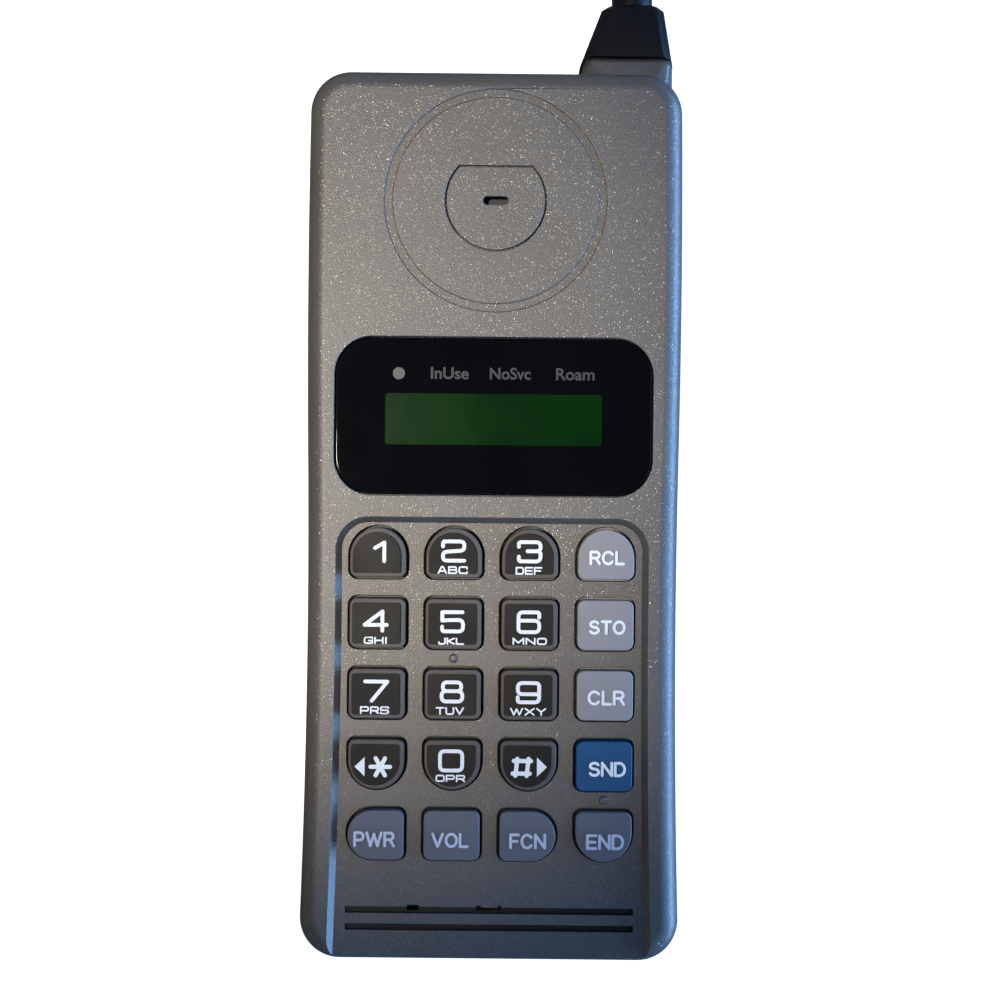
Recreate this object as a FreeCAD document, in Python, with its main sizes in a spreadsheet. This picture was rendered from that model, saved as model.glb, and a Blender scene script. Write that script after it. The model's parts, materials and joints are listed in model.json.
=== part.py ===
import FreeCAD, Part
import math
import os

import Sketcher
from FreeCAD import Placement, Rotation, Vector

# Hand-held bar cell phone of the early 1990s, lying on its back.
# X points to the right of the keypad, Y toward the earpiece and Z out of the front face.
# The origin is the middle of the flat back, in the plane that the phone rests on.
# Every piece is drawn with Y counted from the bottom end, then moved down by half the case length.
# All lengths are millimetres.

SIZES = {
    # Case outline: a long bar, waisted at the keypad and swelling toward the earpiece
    "corner_radius": 6.8,
    "waist_place": 57.6,
    "waist_radius": 1560.0,
    "swell_rise": 0.48,
    "swell_radius": 1800.0,
    "front_edge_radius": 3.2,
    "back_edge_radius": 3.0,
    "head_margin": 3.33,
    # Moulded walls
    "side_wall": 1.8,
    "front_wall": 3.0,
    "floor_wall": 1.6,
    "back_wall": 1.8,
    "tongue_width": 0.8,
    "tongue_height": 1.0,
    "fit_gap": 0.1,
    # Keypad panel: a shallow recess that runs out through the bottom end
    "recess_depth": 1.2,
    "recess_rail": 4.87,
    "recess_corner": 5.5,
    "recess_slope": 1.0,
    "panel_side": 1.15,
    "panel_head": 1.56,
    # Keys
    "key_pitch_across": 12.6,
    "key_pitch_along": 11.72,
    "key_low_row": 21.16,
    "key_width": 9.3,
    "key_length": 8.2,
    "key_corner": 1.2,
    "key_gap": 0.3,
    "key_stand": 2.3,
    "key_bevel": 0.6,
    "key_travel": 0.8,
    "key_play": 0.1,
    "flange_lap": 0.45,
    "flange_thickness": 0.8,
    "nub_radius": 0.75,
    "nub_height": 0.3,
    # Microphone slots across the lower end
    "slot_side": 6.8,
    "slot_width": 1.05,
    "slot_depth": 1.0,
    "upper_slot": 8.4,
    "slot_pitch": 2.85,
    "port_rise": 0.3,
    "voice_port_width": 4.26,
    "vent_port_width": 2.0,
    "vent_port_place": 12.7,
    # Display lens and its window
    "lens_below": 3.7,
    "lens_rail": 4.52,
    "lens_length": 26.1,
    "lens_corner": 6.2,
    "lens_thickness": 1.5,
    "lens_sink": 0.12,
    "lens_gap": 0.15,
    "lens_bevel": 0.35,
    "lens_side_lap": 3.35,
    "lens_end_lap": 3.85,
    "window_side": 5.0,
    "window_length": 8.5,
    "window_drop": 0.5,
    "filter_lap": 1.0,
    "filter_thickness": 0.5,
    "display_side": 2.0,
    "display_length": 13.0,
    "display_wall": 1.5,
    "indicator_size": 1.9,
    "indicator_dot": 15.8,
    "indicator_left": 7.35,
    "indicator_middle": 2.7,
    "indicator_right": 13.5,
    # Earpiece: ring groove, insert with one flat edge, and the capsule behind it
    "ring_below": 4.4,
    "ring_outer_radius": 18.45,
    "ring_width": 1.25,
    "ring_depth": 0.35,
    "insert_radius": 8.3,
    "insert_flat": 5.65,
    "insert_gap": 0.15,
    "insert_thickness": 1.0,
    "ear_slot_length": 4.2,
    "ear_slot_width": 1.35,
    "ear_port_radius": 5.0,
    "capsule_radius": 10.0,
    "capsule_height": 4.5,
    "gasket_thickness": 0.6,
    "gasket_width": 2.5,
    "capsule_ring_wall": 1.2,
    # Microphone capsule in its rubber boot
    "mic_radius": 3.0,
    "mic_height": 2.2,
    "mic_boot_wall": 1.2,
    # Circuit boards
    "board_thickness": 1.2,
    "board_edge_gap": 0.8,
    "board_rise": 2.0,
    "board_end_gap": 5.75,
    "post_height": 1.8,
    "mat_edge": 3.2,
    "mat_gap": 0.2,
    "mat_thickness": 1.0,
    "dome_width": 7.2,
    "dome_length": 6.4,
    "dome_rest": 1.1,
    "dome_bevel": 0.9,
    "can_gap": 0.6,
    "can_start": 22.0,
    "can_height": 4.4,
    "can_sheet": 0.3,
    "header_half_width": 12.0,
    "header_drop": 0.4,
    "header_length": 4.5,
    "header_gap": 4.0,
    "ringer_radius": 7.5,
    "ringer_height": 4.0,
    "ringer_aside": 12.0,
    "ringer_from_top": 16.5,
    "post_radius": 2.0,
    "post_aside": 12.0,
    "post_low": 44.0,
    "post_from_bay_end": 8.0,
    # Case screws and their bosses
    "boss_side_gap": 0.6,
    "screw_low": 12.4,
    "screw_above_panel": 2.2,
    "screw_from_top": 25.0,
    "screw_head_radius": 2.1,
    "screw_head_height": 1.5,
    "screw_shank_radius": 1.0,
    "screw_grip": 5.0,
    "screw_seat_depth": 2.0,
    "boss_radius": 2.75,
    "boss_gap": 0.35,
    # Battery bay and pack
    "hump_length": 34.0,
    "pack_gap": 0.5,
    "pack_top_gap": 0.2,
    "tray_wall": 1.8,
    "tray_floor": 1.0,
    "tray_corner": 4.5,
    "lid_thickness": 1.1,
    "pack_slide": 8.0,
    "hook_aside": 21.0,
    "hook_low": 32.5,
    "hook_from_bay_end": 22.5,
    "hook_length": 5.0,
    "hook_neck": 3.0,
    "hook_head": 6.0,
    "hook_head_thickness": 1.2,
    "hook_gap": 0.3,
    "cell_radius": 7.0,
    "cell_top_gap": 0.2,
    "cell_end_gap": 1.4,
    "cell_gap": 0.4,
    "cell_tip_radius": 2.7,
    "cell_tip_length": 1.2,
    "strap_thickness": 0.2,
    "strap_width": 6.0,
    "rib_thickness": 1.2,
    "rib_gap": 1.77,
    "grip_width": 1.2,
    "grip_depth": 0.5,
    "grip_pitch": 2.6,
    "grip_start": 12.0,
    "grip_half_length": 16.0,
    # Contacts between the pack and the phone
    "contact_pitch": 4.4,
    "contact_height": 8.0,
    "terminal_width": 2.6,
    "terminal_length": 3.6,
    "terminal_thickness": 0.6,
    "pin_width": 1.4,
    "pin_gap": 0.2,
    "pin_length": 4.0,
    "connector_half_width": 9.0,
    "connector_nose": 4.2,
    "connector_sole": 1.0,
    "connector_depth": 5.0,
    # Spring catch of the pack
    "catch_from_bay_end": 10.0,
    "catch_length": 10.0,
    "catch_width": 8.0,
    "catch_sheet": 0.35,
    "catch_rise": 0.9,
    "catch_top": 1.4,
    "catch_foot": 2.4,
    # Antenna
    "antenna_inset": 7.27,
    "antenna_drop": 2.8,
    "stub_inner_reach": 8.8,
    "stub_outer_reach": 6.7,
    "stub_lean": 1.2,
    "stub_root_depth": 10.5,
    "stub_height": 5.35,
    "stub_shoulder": 1.5,
    "stub_half_depth": 6.4,
    "stub_edge": 1.2,
    "boot_skirt": 1.5,
    "boot_inner_lap": 0.5,
    "boot_outer_lap": 0.1,
    "boot_depth_lap": 0.2,
    "boot_height": 9.6,
    "boot_top_half_width": 5.15,
    "boot_top_half_depth": 4.9,
    "boot_corner": 1.6,
    "boot_edge": 1.0,
    "sheath_radius": 3.55,
    "sheath_length": 94.2,
    "rod_radius": 1.25,
    "rod_collar_radius": 2.6,
    "rod_tip_cover": 6.0,
    "socket_radius": 4.4,
    "socket_length": 9.0,
    "socket_gap": 3.5,
    "antenna_clip_width": 3.0,
    "antenna_clip_sheet": 0.4,
    # Accessory connector in the bottom end
    "jack_half_width": 9.0,
    "jack_height": 3.6,
    "jack_roof": 0.2,
    "jack_depth": 6.0,
    "jack_sink": 0.6,
    "jack_wall": 0.7,
    "jack_mouth_depth": 4.0,
    "jack_tongue": 0.8,
    "jack_tongue_length": 3.0,
}


class Size:
    """A length together with the sheet expression that it comes from."""

    def __init__(self, value, text):
        self.value = value
        self.text = text

    def joined(self, sign, other, value):
        return Size(value, f"({self.text} {sign} {other.text})")

    def __add__(self, other):
        other = as_size(other)
        return self.joined("+", other, self.value + other.value)

    def __sub__(self, other):
        other = as_size(other)
        return self.joined("-", other, self.value - other.value)

    def __mul__(self, other):
        other = as_size(other)
        return self.joined("*", other, self.value * other.value)

    def __truediv__(self, other):
        other = as_size(other)
        return self.joined("/", other, self.value / other.value)

    def __rsub__(self, other):
        return as_size(other) - self

    def __neg__(self):
        return Size(-self.value, f"(-1 * {self.text})")


def as_size(number):
    """A plain number as a Size, and a Size as it is."""
    if isinstance(number, Size):
        return number
    return Size(float(number), repr(float(number)))


class Named:
    """The driving dimensions by name: each attribute is a Size bound to its cell."""

    def __getattr__(self, name):
        return Size(SIZES[name], f"Sizes.{name}")


def keep_in_sheet(target, place, alias, content):
    """Write one line of a sheet: the name, the content and the alias."""
    target.set(f"A{place}", alias)
    target.set(f"B{place}", content)
    target.setAlias(f"B{place}", alias)


doc = FreeCAD.newDocument("BarPhone")
sheet = doc.addObject("Spreadsheet::Sheet", "Sizes")
for place, (alias, number) in enumerate(SIZES.items(), start=1):
    keep_in_sheet(sheet, place, alias, str(number))
layout = doc.addObject("Spreadsheet::Sheet", "Layout")
doc.recompute()
S = Named()
ZERO = as_size(0)
parts = []
laid_out = []


def derived(alias, size):
    """A length worked out from others, kept under its own name in the layout sheet."""
    laid_out.append(alias)
    keep_in_sheet(layout, len(laid_out), alias, "=" + size.text.replace("Layout.", ""))
    return Size(size.value, f"Layout.{alias}")


# Numbers of equal sides that stand for a round: on small, hidden or larger pieces

SMALL_ROUND = 8
HIDDEN_ROUND = 12
BORE_ROUND = 16
LARGE_ROUND = 24
CROWN_CHORDS = 10

# How far the middle of a rounded shoulder stands in from its two sides, as a share of the radius

ROUND_SHARE = 0.3

# How far the inside of a bend stands along the strip from its outside, as a share of the sheet

BEND_SHARE = 0.6

# Counts of what repeats

KEY_COLUMNS = 4
KEY_ROWS = 5
GRIPS = 6
CELLS = 5
CONTACTS = 4

# Heights, stacked from the back of the phone to its front face

lid_bottom = derived("lid_bottom", S.tray_floor + S.fit_gap + S.cell_radius * 2 + S.cell_top_gap)
pack_top = derived("pack_top", lid_bottom + S.lid_thickness)
bay_floor = derived("bay_floor", pack_top + S.pack_top_gap)
rear_floor = derived("rear_floor", bay_floor + S.floor_wall)
main_board_height = derived("main_board_height", rear_floor + S.post_height)
main_board_top = derived("main_board_top", main_board_height + S.board_thickness)
parting_height = derived("parting_height", main_board_top + S.jack_height + S.jack_roof + S.tongue_height)
keypad_board_height = derived("keypad_board_height", parting_height + S.board_rise)
keypad_board_top = derived("keypad_board_top", keypad_board_height + S.board_thickness)
mat_top = derived("mat_top", keypad_board_top + S.mat_thickness)
flange_bottom = derived("flange_bottom", mat_top + S.dome_rest + S.key_travel)
flange_top = derived("flange_top", flange_bottom + S.flange_thickness)
cavity_top = derived("cavity_top", flange_top + S.key_play)
body_height = derived("body_height", cavity_top + S.front_wall)
recess_floor = derived("recess_floor", body_height - S.recess_depth)
key_top = derived("key_top", recess_floor + S.key_stand)
lens_top = derived("lens_top", body_height - S.lens_sink)
lens_bottom = derived("lens_bottom", lens_top - S.lens_thickness)
antenna_height = derived("antenna_height", main_board_top - S.antenna_drop)

# Half widths, from the keys in the middle to the case's own sides

key_side = derived("key_side", S.key_pitch_across * ((KEY_COLUMNS - 1) / 2) + S.key_width / 2 + S.key_gap)
waist_half_width = derived("waist_half_width", key_side + S.panel_side + S.recess_slope + S.recess_rail)
swell_half_width = derived("swell_half_width", waist_half_width + S.swell_rise)
waist_reach = derived("waist_reach", waist_half_width + S.waist_radius)
slot_half_length = derived("slot_half_length", waist_half_width - S.slot_side)
lens_half_width = derived("lens_half_width", waist_half_width - S.lens_rail)
aperture_half_width = derived("aperture_half_width", lens_half_width - S.lens_side_lap)
window_half_width = derived("window_half_width", aperture_half_width - S.window_side)
display_half_width = derived("display_half_width", aperture_half_width - S.display_side)
screw_aside = derived("screw_aside", waist_half_width - S.side_wall - S.boss_radius - S.boss_side_gap)
board_half_width = derived("board_half_width", waist_half_width - S.side_wall - S.board_edge_gap)
notch_reach = derived("notch_reach", S.boss_radius + S.boss_gap)
can_half_width = derived("can_half_width", screw_aside - notch_reach - S.can_gap)
tray_half_width = derived("tray_half_width", waist_half_width - S.tray_wall - S.fit_gap)
end_rib = derived("end_rib", tray_half_width - S.rib_gap - S.rib_thickness)
cell_reach = derived("cell_reach", end_rib - S.hook_gap - S.strap_thickness)
cell_half_length = derived("cell_half_length", cell_reach - S.cell_tip_length)
antenna_aside = derived("antenna_aside", waist_half_width - S.antenna_inset)
stub_left = derived("stub_left", antenna_aside - S.stub_inner_reach)
stub_right = derived("stub_right", antenna_aside + S.stub_outer_reach)
boot_left = derived("boot_left", stub_left - S.boot_inner_lap)
boot_right = derived("boot_right", stub_right + S.boot_outer_lap)

# Places along the phone, zone by zone: keypad, display, earpiece and antenna

top_row = derived("top_row", S.key_low_row + S.key_pitch_along * (KEY_ROWS - 1))
recess_top = derived("recess_top", top_row + S.key_length / 2 + S.key_gap + S.panel_head)
lens_place = derived("lens_place", recess_top + S.lens_below + S.lens_length / 2)
aperture_half_length = derived("aperture_half_length", S.lens_length / 2 - S.lens_end_lap)
window_place = derived("window_place", lens_place - S.window_drop)
display_end = derived("display_end", window_place + S.display_length / 2)
indicator_place = derived("indicator_place", display_end + S.fit_gap + S.indicator_size / 2)
ear_place = derived("ear_place", lens_place + S.lens_length / 2 + S.ring_below + S.ring_outer_radius)
body_length = derived("body_length", ear_place + S.ring_outer_radius + S.head_margin)
half_shift = derived("half_shift", -(body_length / 2))
lower_slot = derived("lower_slot", S.upper_slot - S.slot_pitch)
bay_end = derived("bay_end", body_length - S.hump_length)
pack_end = derived("pack_end", bay_end - S.pack_gap)
hump_start = derived("hump_start", bay_end + S.floor_wall)
screw_middle = derived("screw_middle", recess_top + S.screw_above_panel)
screw_high = derived("screw_high", body_length - S.screw_from_top)
ear_cup_radius = derived("ear_cup_radius", S.capsule_radius + S.fit_gap + S.capsule_ring_wall)
keypad_board_end = derived("keypad_board_end", ear_place - ear_cup_radius - S.board_end_gap)
mat_start = derived("mat_start", S.screw_low + notch_reach + S.mat_gap)
mat_end = derived("mat_end", screw_middle - notch_reach - S.mat_gap)
header_start = derived("header_start", recess_top - S.header_drop)
can_end = derived("can_end", header_start - S.header_gap)
ringer_place = derived("ringer_place", body_length - S.ringer_from_top)
post_high = derived("post_high", bay_end - S.post_from_bay_end)
hook_high = derived("hook_high", bay_end - S.hook_from_bay_end)
catch_place = derived("catch_place", bay_end - S.catch_from_bay_end)
cell_start = derived("cell_start", S.tray_wall + S.cell_end_gap + S.cell_radius)
cell_pitch = derived("cell_pitch", S.cell_radius * 2 + S.cell_gap)
socket_start = derived("socket_start", body_length - S.socket_length)
main_board_end = derived("main_board_end", socket_start - S.socket_gap)
stub_root = derived("stub_root", body_length - S.stub_root_depth)
stub_top = derived("stub_top", body_length + S.stub_height)
boot_top = derived("boot_top", stub_top + S.boot_height)
boot_half_depth = derived("boot_half_depth", S.stub_half_depth + S.boot_depth_lap)
antenna_tip = derived("antenna_tip", boot_top + S.sheath_length)
outside = body_length
doc.recompute()


def on_circle(across, along, radius, turn):
    """The point of a circle at an angle in radians."""
    return across + radius * math.cos(turn), along + radius * math.sin(turn)


def corner(across, along, radius, start, chords=2, sweep=90):
    """Points round a corner, from a start angle in degrees, in equal chords."""
    angles = [math.radians(start + sweep * number / chords) for number in range(chords + 1)]
    return [on_circle(across, along, radius, angle) for angle in angles]


def soft_corners(left, right, low, high, radius):
    """Points round a rectangle with small round corners."""
    return (
        corner(left + radius, low + radius, radius, 180)
        + corner(right - radius, low + radius, radius, 270)
        + corner(right - radius, high - radius, radius, 0)
        + corner(left + radius, high - radius, radius, 90)
    )


def tombstone(width, length, radius):
    """Points round a key about the origin: square foot and a half circle at the top."""
    left, right, low = -(width / 2), width / 2, -(length / 2)
    return (
        corner(left + radius, low + radius, radius, 180)
        + corner(right - radius, low + radius, radius, 270)
        + corner(ZERO, length / 2 - width / 2, width / 2, 0, CROWN_CHORDS, 180)
    )


def bind(thing, prop, size):
    """Tie a property to its sheet expression."""
    thing.setExpression(prop, as_size(size).text)


def new_body(name):
    """A body for one piece, drawn from the bottom end of the case."""
    body = doc.addObject("PartDesign::Body", name)
    body.Label = name
    bind(body, "Placement.Base.y", half_shift)
    parts.append(body)
    return body


def finish(body):
    """Make the newest feature the body's tip and recompute."""
    body.Tip = body.Group[-1]
    doc.recompute()


class Drawing:
    """A sketch on one of a body's own planes, with every corner and radius bound."""

    def __init__(self, body, name, height=0, plane="XY_Plane", across=0, along=0):
        self.sketch = body.newObject("Sketcher::SketchObject", name)
        own_plane = next(f for f in body.Origin.OriginFeatures if f.Role == plane)
        self.sketch.AttachmentSupport = [(own_plane, "")]
        self.sketch.MapMode = "FlatFace"
        places = [as_size(across), as_size(along), as_size(height)]
        start = Vector(*[place.value for place in places])
        self.sketch.AttachmentOffset = Placement(start, Rotation())
        for axis, place in zip("xyz", places):
            bind(self.sketch, f"AttachmentOffset.Base.{axis}", place)

    def add(self, geometry):
        return self.sketch.addGeometry(geometry, False)

    def rule(self, *words):
        return self.sketch.addConstraint(Sketcher.Constraint(*words))

    def measure(self, size, *words):
        size = as_size(size)
        index = self.rule(*words, size.value)
        self.sketch.setExpression(f"Constraints[{index}]", size.text)

    def at_x(self, item, point, size):
        self.measure(size, "DistanceX", -1, 1, item, point)

    def at_y(self, item, point, size):
        self.measure(size, "DistanceY", -1, 1, item, point)

    def radius(self, item, size):
        self.measure(size, "Radius", item)

    def line(self, start, end):
        return self.add(Part.LineSegment(Vector(*start, 0), Vector(*end, 0)))

    def arc(self, centre, radius, start, end):
        circle = Part.Circle(Vector(*centre, 0), Vector(0, 0, 1), radius)
        return self.add(Part.ArcOfCircle(circle, start, end))

    def circle(self, across, along, radius, sides=0):
        """A circle, or on a small or hidden round that many equal sides."""
        across, along, radius = as_size(across), as_size(along), as_size(radius)
        if sides:
            turns = [2 * math.pi * number / sides for number in range(sides)]
            self.polygon([on_circle(across, along, radius, turn) for turn in turns])
            return
        item = self.add(Part.Circle(Vector(across.value, along.value, 0), Vector(0, 0, 1), radius.value))
        self.at_x(item, 3, across)
        self.at_y(item, 3, along)
        self.radius(item, radius)

    def polygon(self, corners):
        """A closed loop of straight edges through the corners."""
        corners = [(as_size(x), as_size(y)) for x, y in corners]
        points = [Vector(x.value, y.value, 0) for x, y in corners]
        following = points[1:] + points[:1]
        edges = [Part.LineSegment(start, end) for start, end in zip(points, following)]
        items = self.sketch.addGeometry(edges, False)
        rules = []
        for item, following in zip(items, items[1:] + items[:1]):
            rules.append(Sketcher.Constraint("Coincident", item, 2, following, 1))
        for item, point in zip(items, points):
            rules.append(Sketcher.Constraint("DistanceX", -1, 1, item, 1, point.x))
            rules.append(Sketcher.Constraint("DistanceY", -1, 1, item, 1, point.y))
        indices = self.sketch.addConstraint(rules)[len(items):]
        for index, size in zip(indices, [size for pair in corners for size in pair]):
            self.sketch.setExpression(f"Constraints[{index}]", size.text)

    def rectangle(self, left, right, low, high):
        self.polygon([(left, low), (right, low), (right, high), (left, high)])

    def rounded(self, left, right, low, high, radius):
        """A rectangle with round corners."""
        sides = [as_size(side) for side in (left, right, low, high, radius)]
        left, right, low, high, radius = sides
        x0, x1, y0, y1, r = [side.value for side in sides]
        quarter = math.pi / 2
        bottom = self.line((x0 + r, y0), (x1 - r, y0))
        arc_1 = self.arc((x1 - r, y0 + r), r, -quarter, 0)
        right_side = self.line((x1, y0 + r), (x1, y1 - r))
        arc_2 = self.arc((x1 - r, y1 - r), r, 0, quarter)
        top = self.line((x1 - r, y1), (x0 + r, y1))
        arc_3 = self.arc((x0 + r, y1 - r), r, quarter, 2 * quarter)
        left_side = self.line((x0, y1 - r), (x0, y0 + r))
        arc_4 = self.arc((x0 + r, y0 + r), r, 2 * quarter, 3 * quarter)
        self.loop([bottom, arc_1, right_side, arc_2, top, arc_3, left_side, arc_4])
        self.radius(arc_1, radius)
        for other in (arc_2, arc_3, arc_4):
            self.rule("Equal", arc_1, other)
        for level, place in ((bottom, low), (top, high)):
            self.rule("Horizontal", level)
            self.at_y(level, 1, place)
        for upright, place in ((right_side, right), (left_side, left)):
            self.rule("Vertical", upright)
            self.at_x(upright, 1, place)

    def loop(self, items):
        """Join edges drawn one after the other, each tangent to the next."""
        for item, following in zip(items, items[1:] + items[:1]):
            self.rule("Tangent", item, 2, following, 1)

    def soft_rectangle(self, left, right, low, high, radius):
        """A rectangle whose small corners are rounded in two chords each."""
        self.polygon(soft_corners(left, right, low, high, radius))

    def flat_topped_circle(self, centre, radius, flat):
        """A circle cut off by a level edge above its centre."""
        angle = math.asin(flat.value / radius.value)
        reach = radius.value * math.cos(angle)
        height = centre.value + flat.value
        round_part = self.arc((0, centre.value), radius.value, math.pi - angle, 2 * math.pi + angle)
        edge = self.line((reach, height), (-reach, height))
        self.rule("Coincident", round_part, 2, edge, 1)
        self.rule("Coincident", edge, 2, round_part, 1)
        self.rule("Horizontal", edge)
        self.at_x(round_part, 3, 0)
        self.at_y(round_part, 3, centre)
        self.radius(round_part, radius)
        self.at_y(edge, 1, centre + flat)

    def side_arcs(self, inset, low, high):
        """The two concave waist arcs between two heights, given as plain numbers."""
        middle = S.waist_place.value
        reach = waist_reach.value
        radius = (S.waist_radius + inset).value
        below = math.asin((middle - low) / radius)
        above = math.asin((high - middle) / radius)
        right = self.arc((reach, middle), radius, math.pi - above, math.pi + below)
        left = self.arc((-reach, middle), radius, -below, above)
        self.radius(right, S.waist_radius + inset)
        self.rule("Equal", right, left)
        for item, place in ((right, waist_reach), (left, -waist_reach)):
            self.at_x(item, 3, place)
            self.at_y(item, 3, S.waist_place)
        return right, left

    def case_outline(self, inset):
        """The case seen from the front, moved inward by the inset all round.

        Each side is one concave waist arc, tangent to one convex swell arc, between round corners.
        """
        inset = as_size(inset)
        n = inset.value
        r = S.corner_radius.value - n
        waist = S.waist_radius.value + n
        swell = S.swell_radius.value - n
        reach = waist_reach.value
        hollow = (swell_half_width - S.swell_radius).value
        low = n + r
        high = body_length.value - n - r
        rise = math.sqrt((waist + swell) ** 2 - (reach - hollow) ** 2)
        middle = S.waist_place.value
        turn_y = middle + rise * waist / (waist + swell)
        swell_y = middle + rise
        low_x = reach - math.sqrt((waist + r) ** 2 - (middle - low) ** 2)
        high_x = hollow + math.sqrt((swell - r) ** 2 - (high - swell_y) ** 2)
        low_lean = math.asin((middle - low) / (waist + r))
        high_lean = math.asin((high - swell_y) / (swell - r))
        start = math.asin((turn_y - swell_y) / swell)
        quarter = math.pi / 2
        bottom = self.line((-low_x, n), (low_x, n))
        corner_1 = self.arc((low_x, low), r, -quarter, low_lean)
        waist_right, waist_left = self.side_arcs(inset, low, turn_y)
        swell_right = self.arc((hollow, swell_y), swell, start, high_lean)
        corner_2 = self.arc((high_x, high), r, high_lean, quarter)
        top = self.line((high_x, high + r), (-high_x, high + r))
        corner_3 = self.arc((-high_x, high), r, quarter, math.pi - high_lean)
        swell_left = self.arc((-hollow, swell_y), swell, math.pi - high_lean, math.pi - start)
        corner_4 = self.arc((-low_x, low), r, math.pi - low_lean, 3 * quarter)
        self.rule("Tangent", bottom, 2, corner_1, 1)
        self.rule("Tangent", corner_1, 2, waist_right, 2)
        self.rule("Tangent", waist_right, 1, swell_right, 1)
        self.rule("Tangent", swell_right, 2, corner_2, 1)
        self.rule("Tangent", corner_2, 2, top, 1)
        self.rule("Tangent", top, 2, corner_3, 1)
        self.rule("Tangent", corner_3, 2, swell_left, 1)
        self.rule("Tangent", swell_left, 2, waist_left, 2)
        self.rule("Tangent", waist_left, 1, corner_4, 1)
        self.rule("Tangent", corner_4, 2, bottom, 1)
        self.rule("Horizontal", bottom)
        self.rule("Horizontal", top)
        self.at_y(bottom, 1, inset)
        self.at_y(top, 1, body_length - inset)
        self.radius(corner_1, S.corner_radius - inset)
        for other in (corner_2, corner_3, corner_4):
            self.rule("Equal", corner_1, other)
        self.radius(swell_right, S.swell_radius - inset)
        self.rule("Equal", swell_right, swell_left)
        self.at_x(swell_right, 3, swell_half_width - S.swell_radius)
        self.at_x(swell_left, 3, S.swell_radius - swell_half_width)

    def recess_outline(self, slope):
        """The keypad panel: sides that follow the waist and run out past the bottom end."""
        slope = as_size(slope)
        inset = S.recess_rail + slope
        r = (S.recess_corner - slope).value
        high = (recess_top - slope).value - r
        low = -S.recess_rail.value
        reach = waist_reach.value
        waist = (S.waist_radius + inset).value
        middle = S.waist_place.value
        corner_x = reach - math.sqrt((waist + r) ** 2 - (high - middle) ** 2)
        lean = -math.asin((high - middle) / (waist + r))
        foot_x = reach - math.sqrt(waist ** 2 - (middle - low) ** 2)
        quarter = math.pi / 2
        right, left = self.side_arcs(inset, low, high)
        foot = self.line((-foot_x, low), (foot_x, low))
        corner_1 = self.arc((corner_x, high), r, lean, quarter)
        top = self.line((corner_x, high + r), (-corner_x, high + r))
        corner_2 = self.arc((-corner_x, high), r, quarter, math.pi - lean)
        self.rule("Coincident", foot, 2, right, 2)
        self.rule("Tangent", right, 1, corner_1, 1)
        self.rule("Tangent", corner_1, 2, top, 1)
        self.rule("Tangent", top, 2, corner_2, 1)
        self.rule("Tangent", corner_2, 2, left, 2)
        self.rule("Coincident", left, 1, foot, 1)
        self.rule("Horizontal", foot)
        self.rule("Horizontal", top)
        self.at_y(foot, 1, -S.recess_rail)
        self.at_y(top, 1, recess_top - slope)
        self.radius(corner_1, S.recess_corner - slope)
        self.rule("Equal", corner_1, corner_2)


def pad(body, name, drawing, length, downward=False):
    """Add material from a sketch, up the sketch's axis unless it goes downward."""
    feature = body.newObject("PartDesign::Pad", name)
    feature.Profile = drawing.sketch
    bind(feature, "Length", length)
    feature.Reversed = downward
    finish(body)
    return feature


def pocket(body, name, drawing, length, upward=False):
    """Take material away from a sketch, down the sketch's axis unless it goes upward."""
    before = body.Shape.Volume
    feature = body.newObject("PartDesign::Pocket", name)
    feature.Profile = drawing.sketch
    bind(feature, "Length", length)
    feature.Reversed = upward
    finish(body)
    if body.Shape.Volume > before - 1e-6:
        raise ValueError(f"{body.Label}: {name} cuts nothing")
    return feature


def repeat(body, name, original, axis, step, count, other_axis=None, other_step=None, other_count=1):
    """Repeat a feature at a steady pitch along one axis of the body, or along two."""
    feature = body.newObject("PartDesign::LinearPattern", name)
    feature.Originals = [original]
    roles = {f.Role: f for f in body.Origin.OriginFeatures}
    feature.Direction = (roles[axis], [""])
    feature.Mode = "Spacing"
    bind(feature, "Offset", step)
    feature.Occurrences = count
    if other_axis:
        feature.Direction2 = (roles[other_axis], [""])
        feature.Mode2 = "Spacing"
        bind(feature, "Offset2", other_step)
        feature.Occurrences2 = other_count
        feature.Spacings2 = [-1.0] * (other_count - 1)
    finish(body)
    return feature


def edges_at(shape, height, keep=lambda edge: True):
    """Names of the edges that lie wholly at one height."""
    names = []
    for number, edge in enumerate(shape.Edges, start=1):
        bounds = edge.BoundBox
        level = abs(bounds.ZMin - height.value) < 1e-4 and abs(bounds.ZMax - height.value) < 1e-4
        if level and keep(edge):
            names.append(f"Edge{number}")
    return names


def fillet(body, name, edges, radius):
    """Round the named edges of the body's last feature."""
    last = body.Tip
    feature = body.newObject("PartDesign::Fillet", name)
    feature.Base = (last, edges)
    bind(feature, "Radius", radius)
    finish(body)
    return feature


def chamfer(body, name, edges, size):
    """Bevel the named edges of the body's last feature."""
    last = body.Tip
    feature = body.newObject("PartDesign::Chamfer", name)
    feature.Base = (last, edges)
    bind(feature, "Size", size)
    finish(body)
    return feature


def lean(body, name, faces, slope, depth, neutral):
    """Lean the named walls outward about a neutral face, by a slope over a depth."""
    last = body.Tip
    feature = body.newObject("PartDesign::Draft", name)
    feature.Base = (last, faces)
    feature.NeutralPlane = (last, [neutral])
    feature.Reversed = True
    bind(feature, "Angle", Size(0, f"atan({as_size(slope).text} / {as_size(depth).text})"))
    finish(body)
    return feature


def column(number):
    """Place of a key column across the phone, from 0 at the left."""
    return S.key_pitch_across * (number - (KEY_COLUMNS - 1) / 2)


def row(number):
    """Height of a key row above the bottom end, from 0 at the top row."""
    return S.key_low_row + S.key_pitch_along * (KEY_ROWS - 1 - number)


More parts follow.
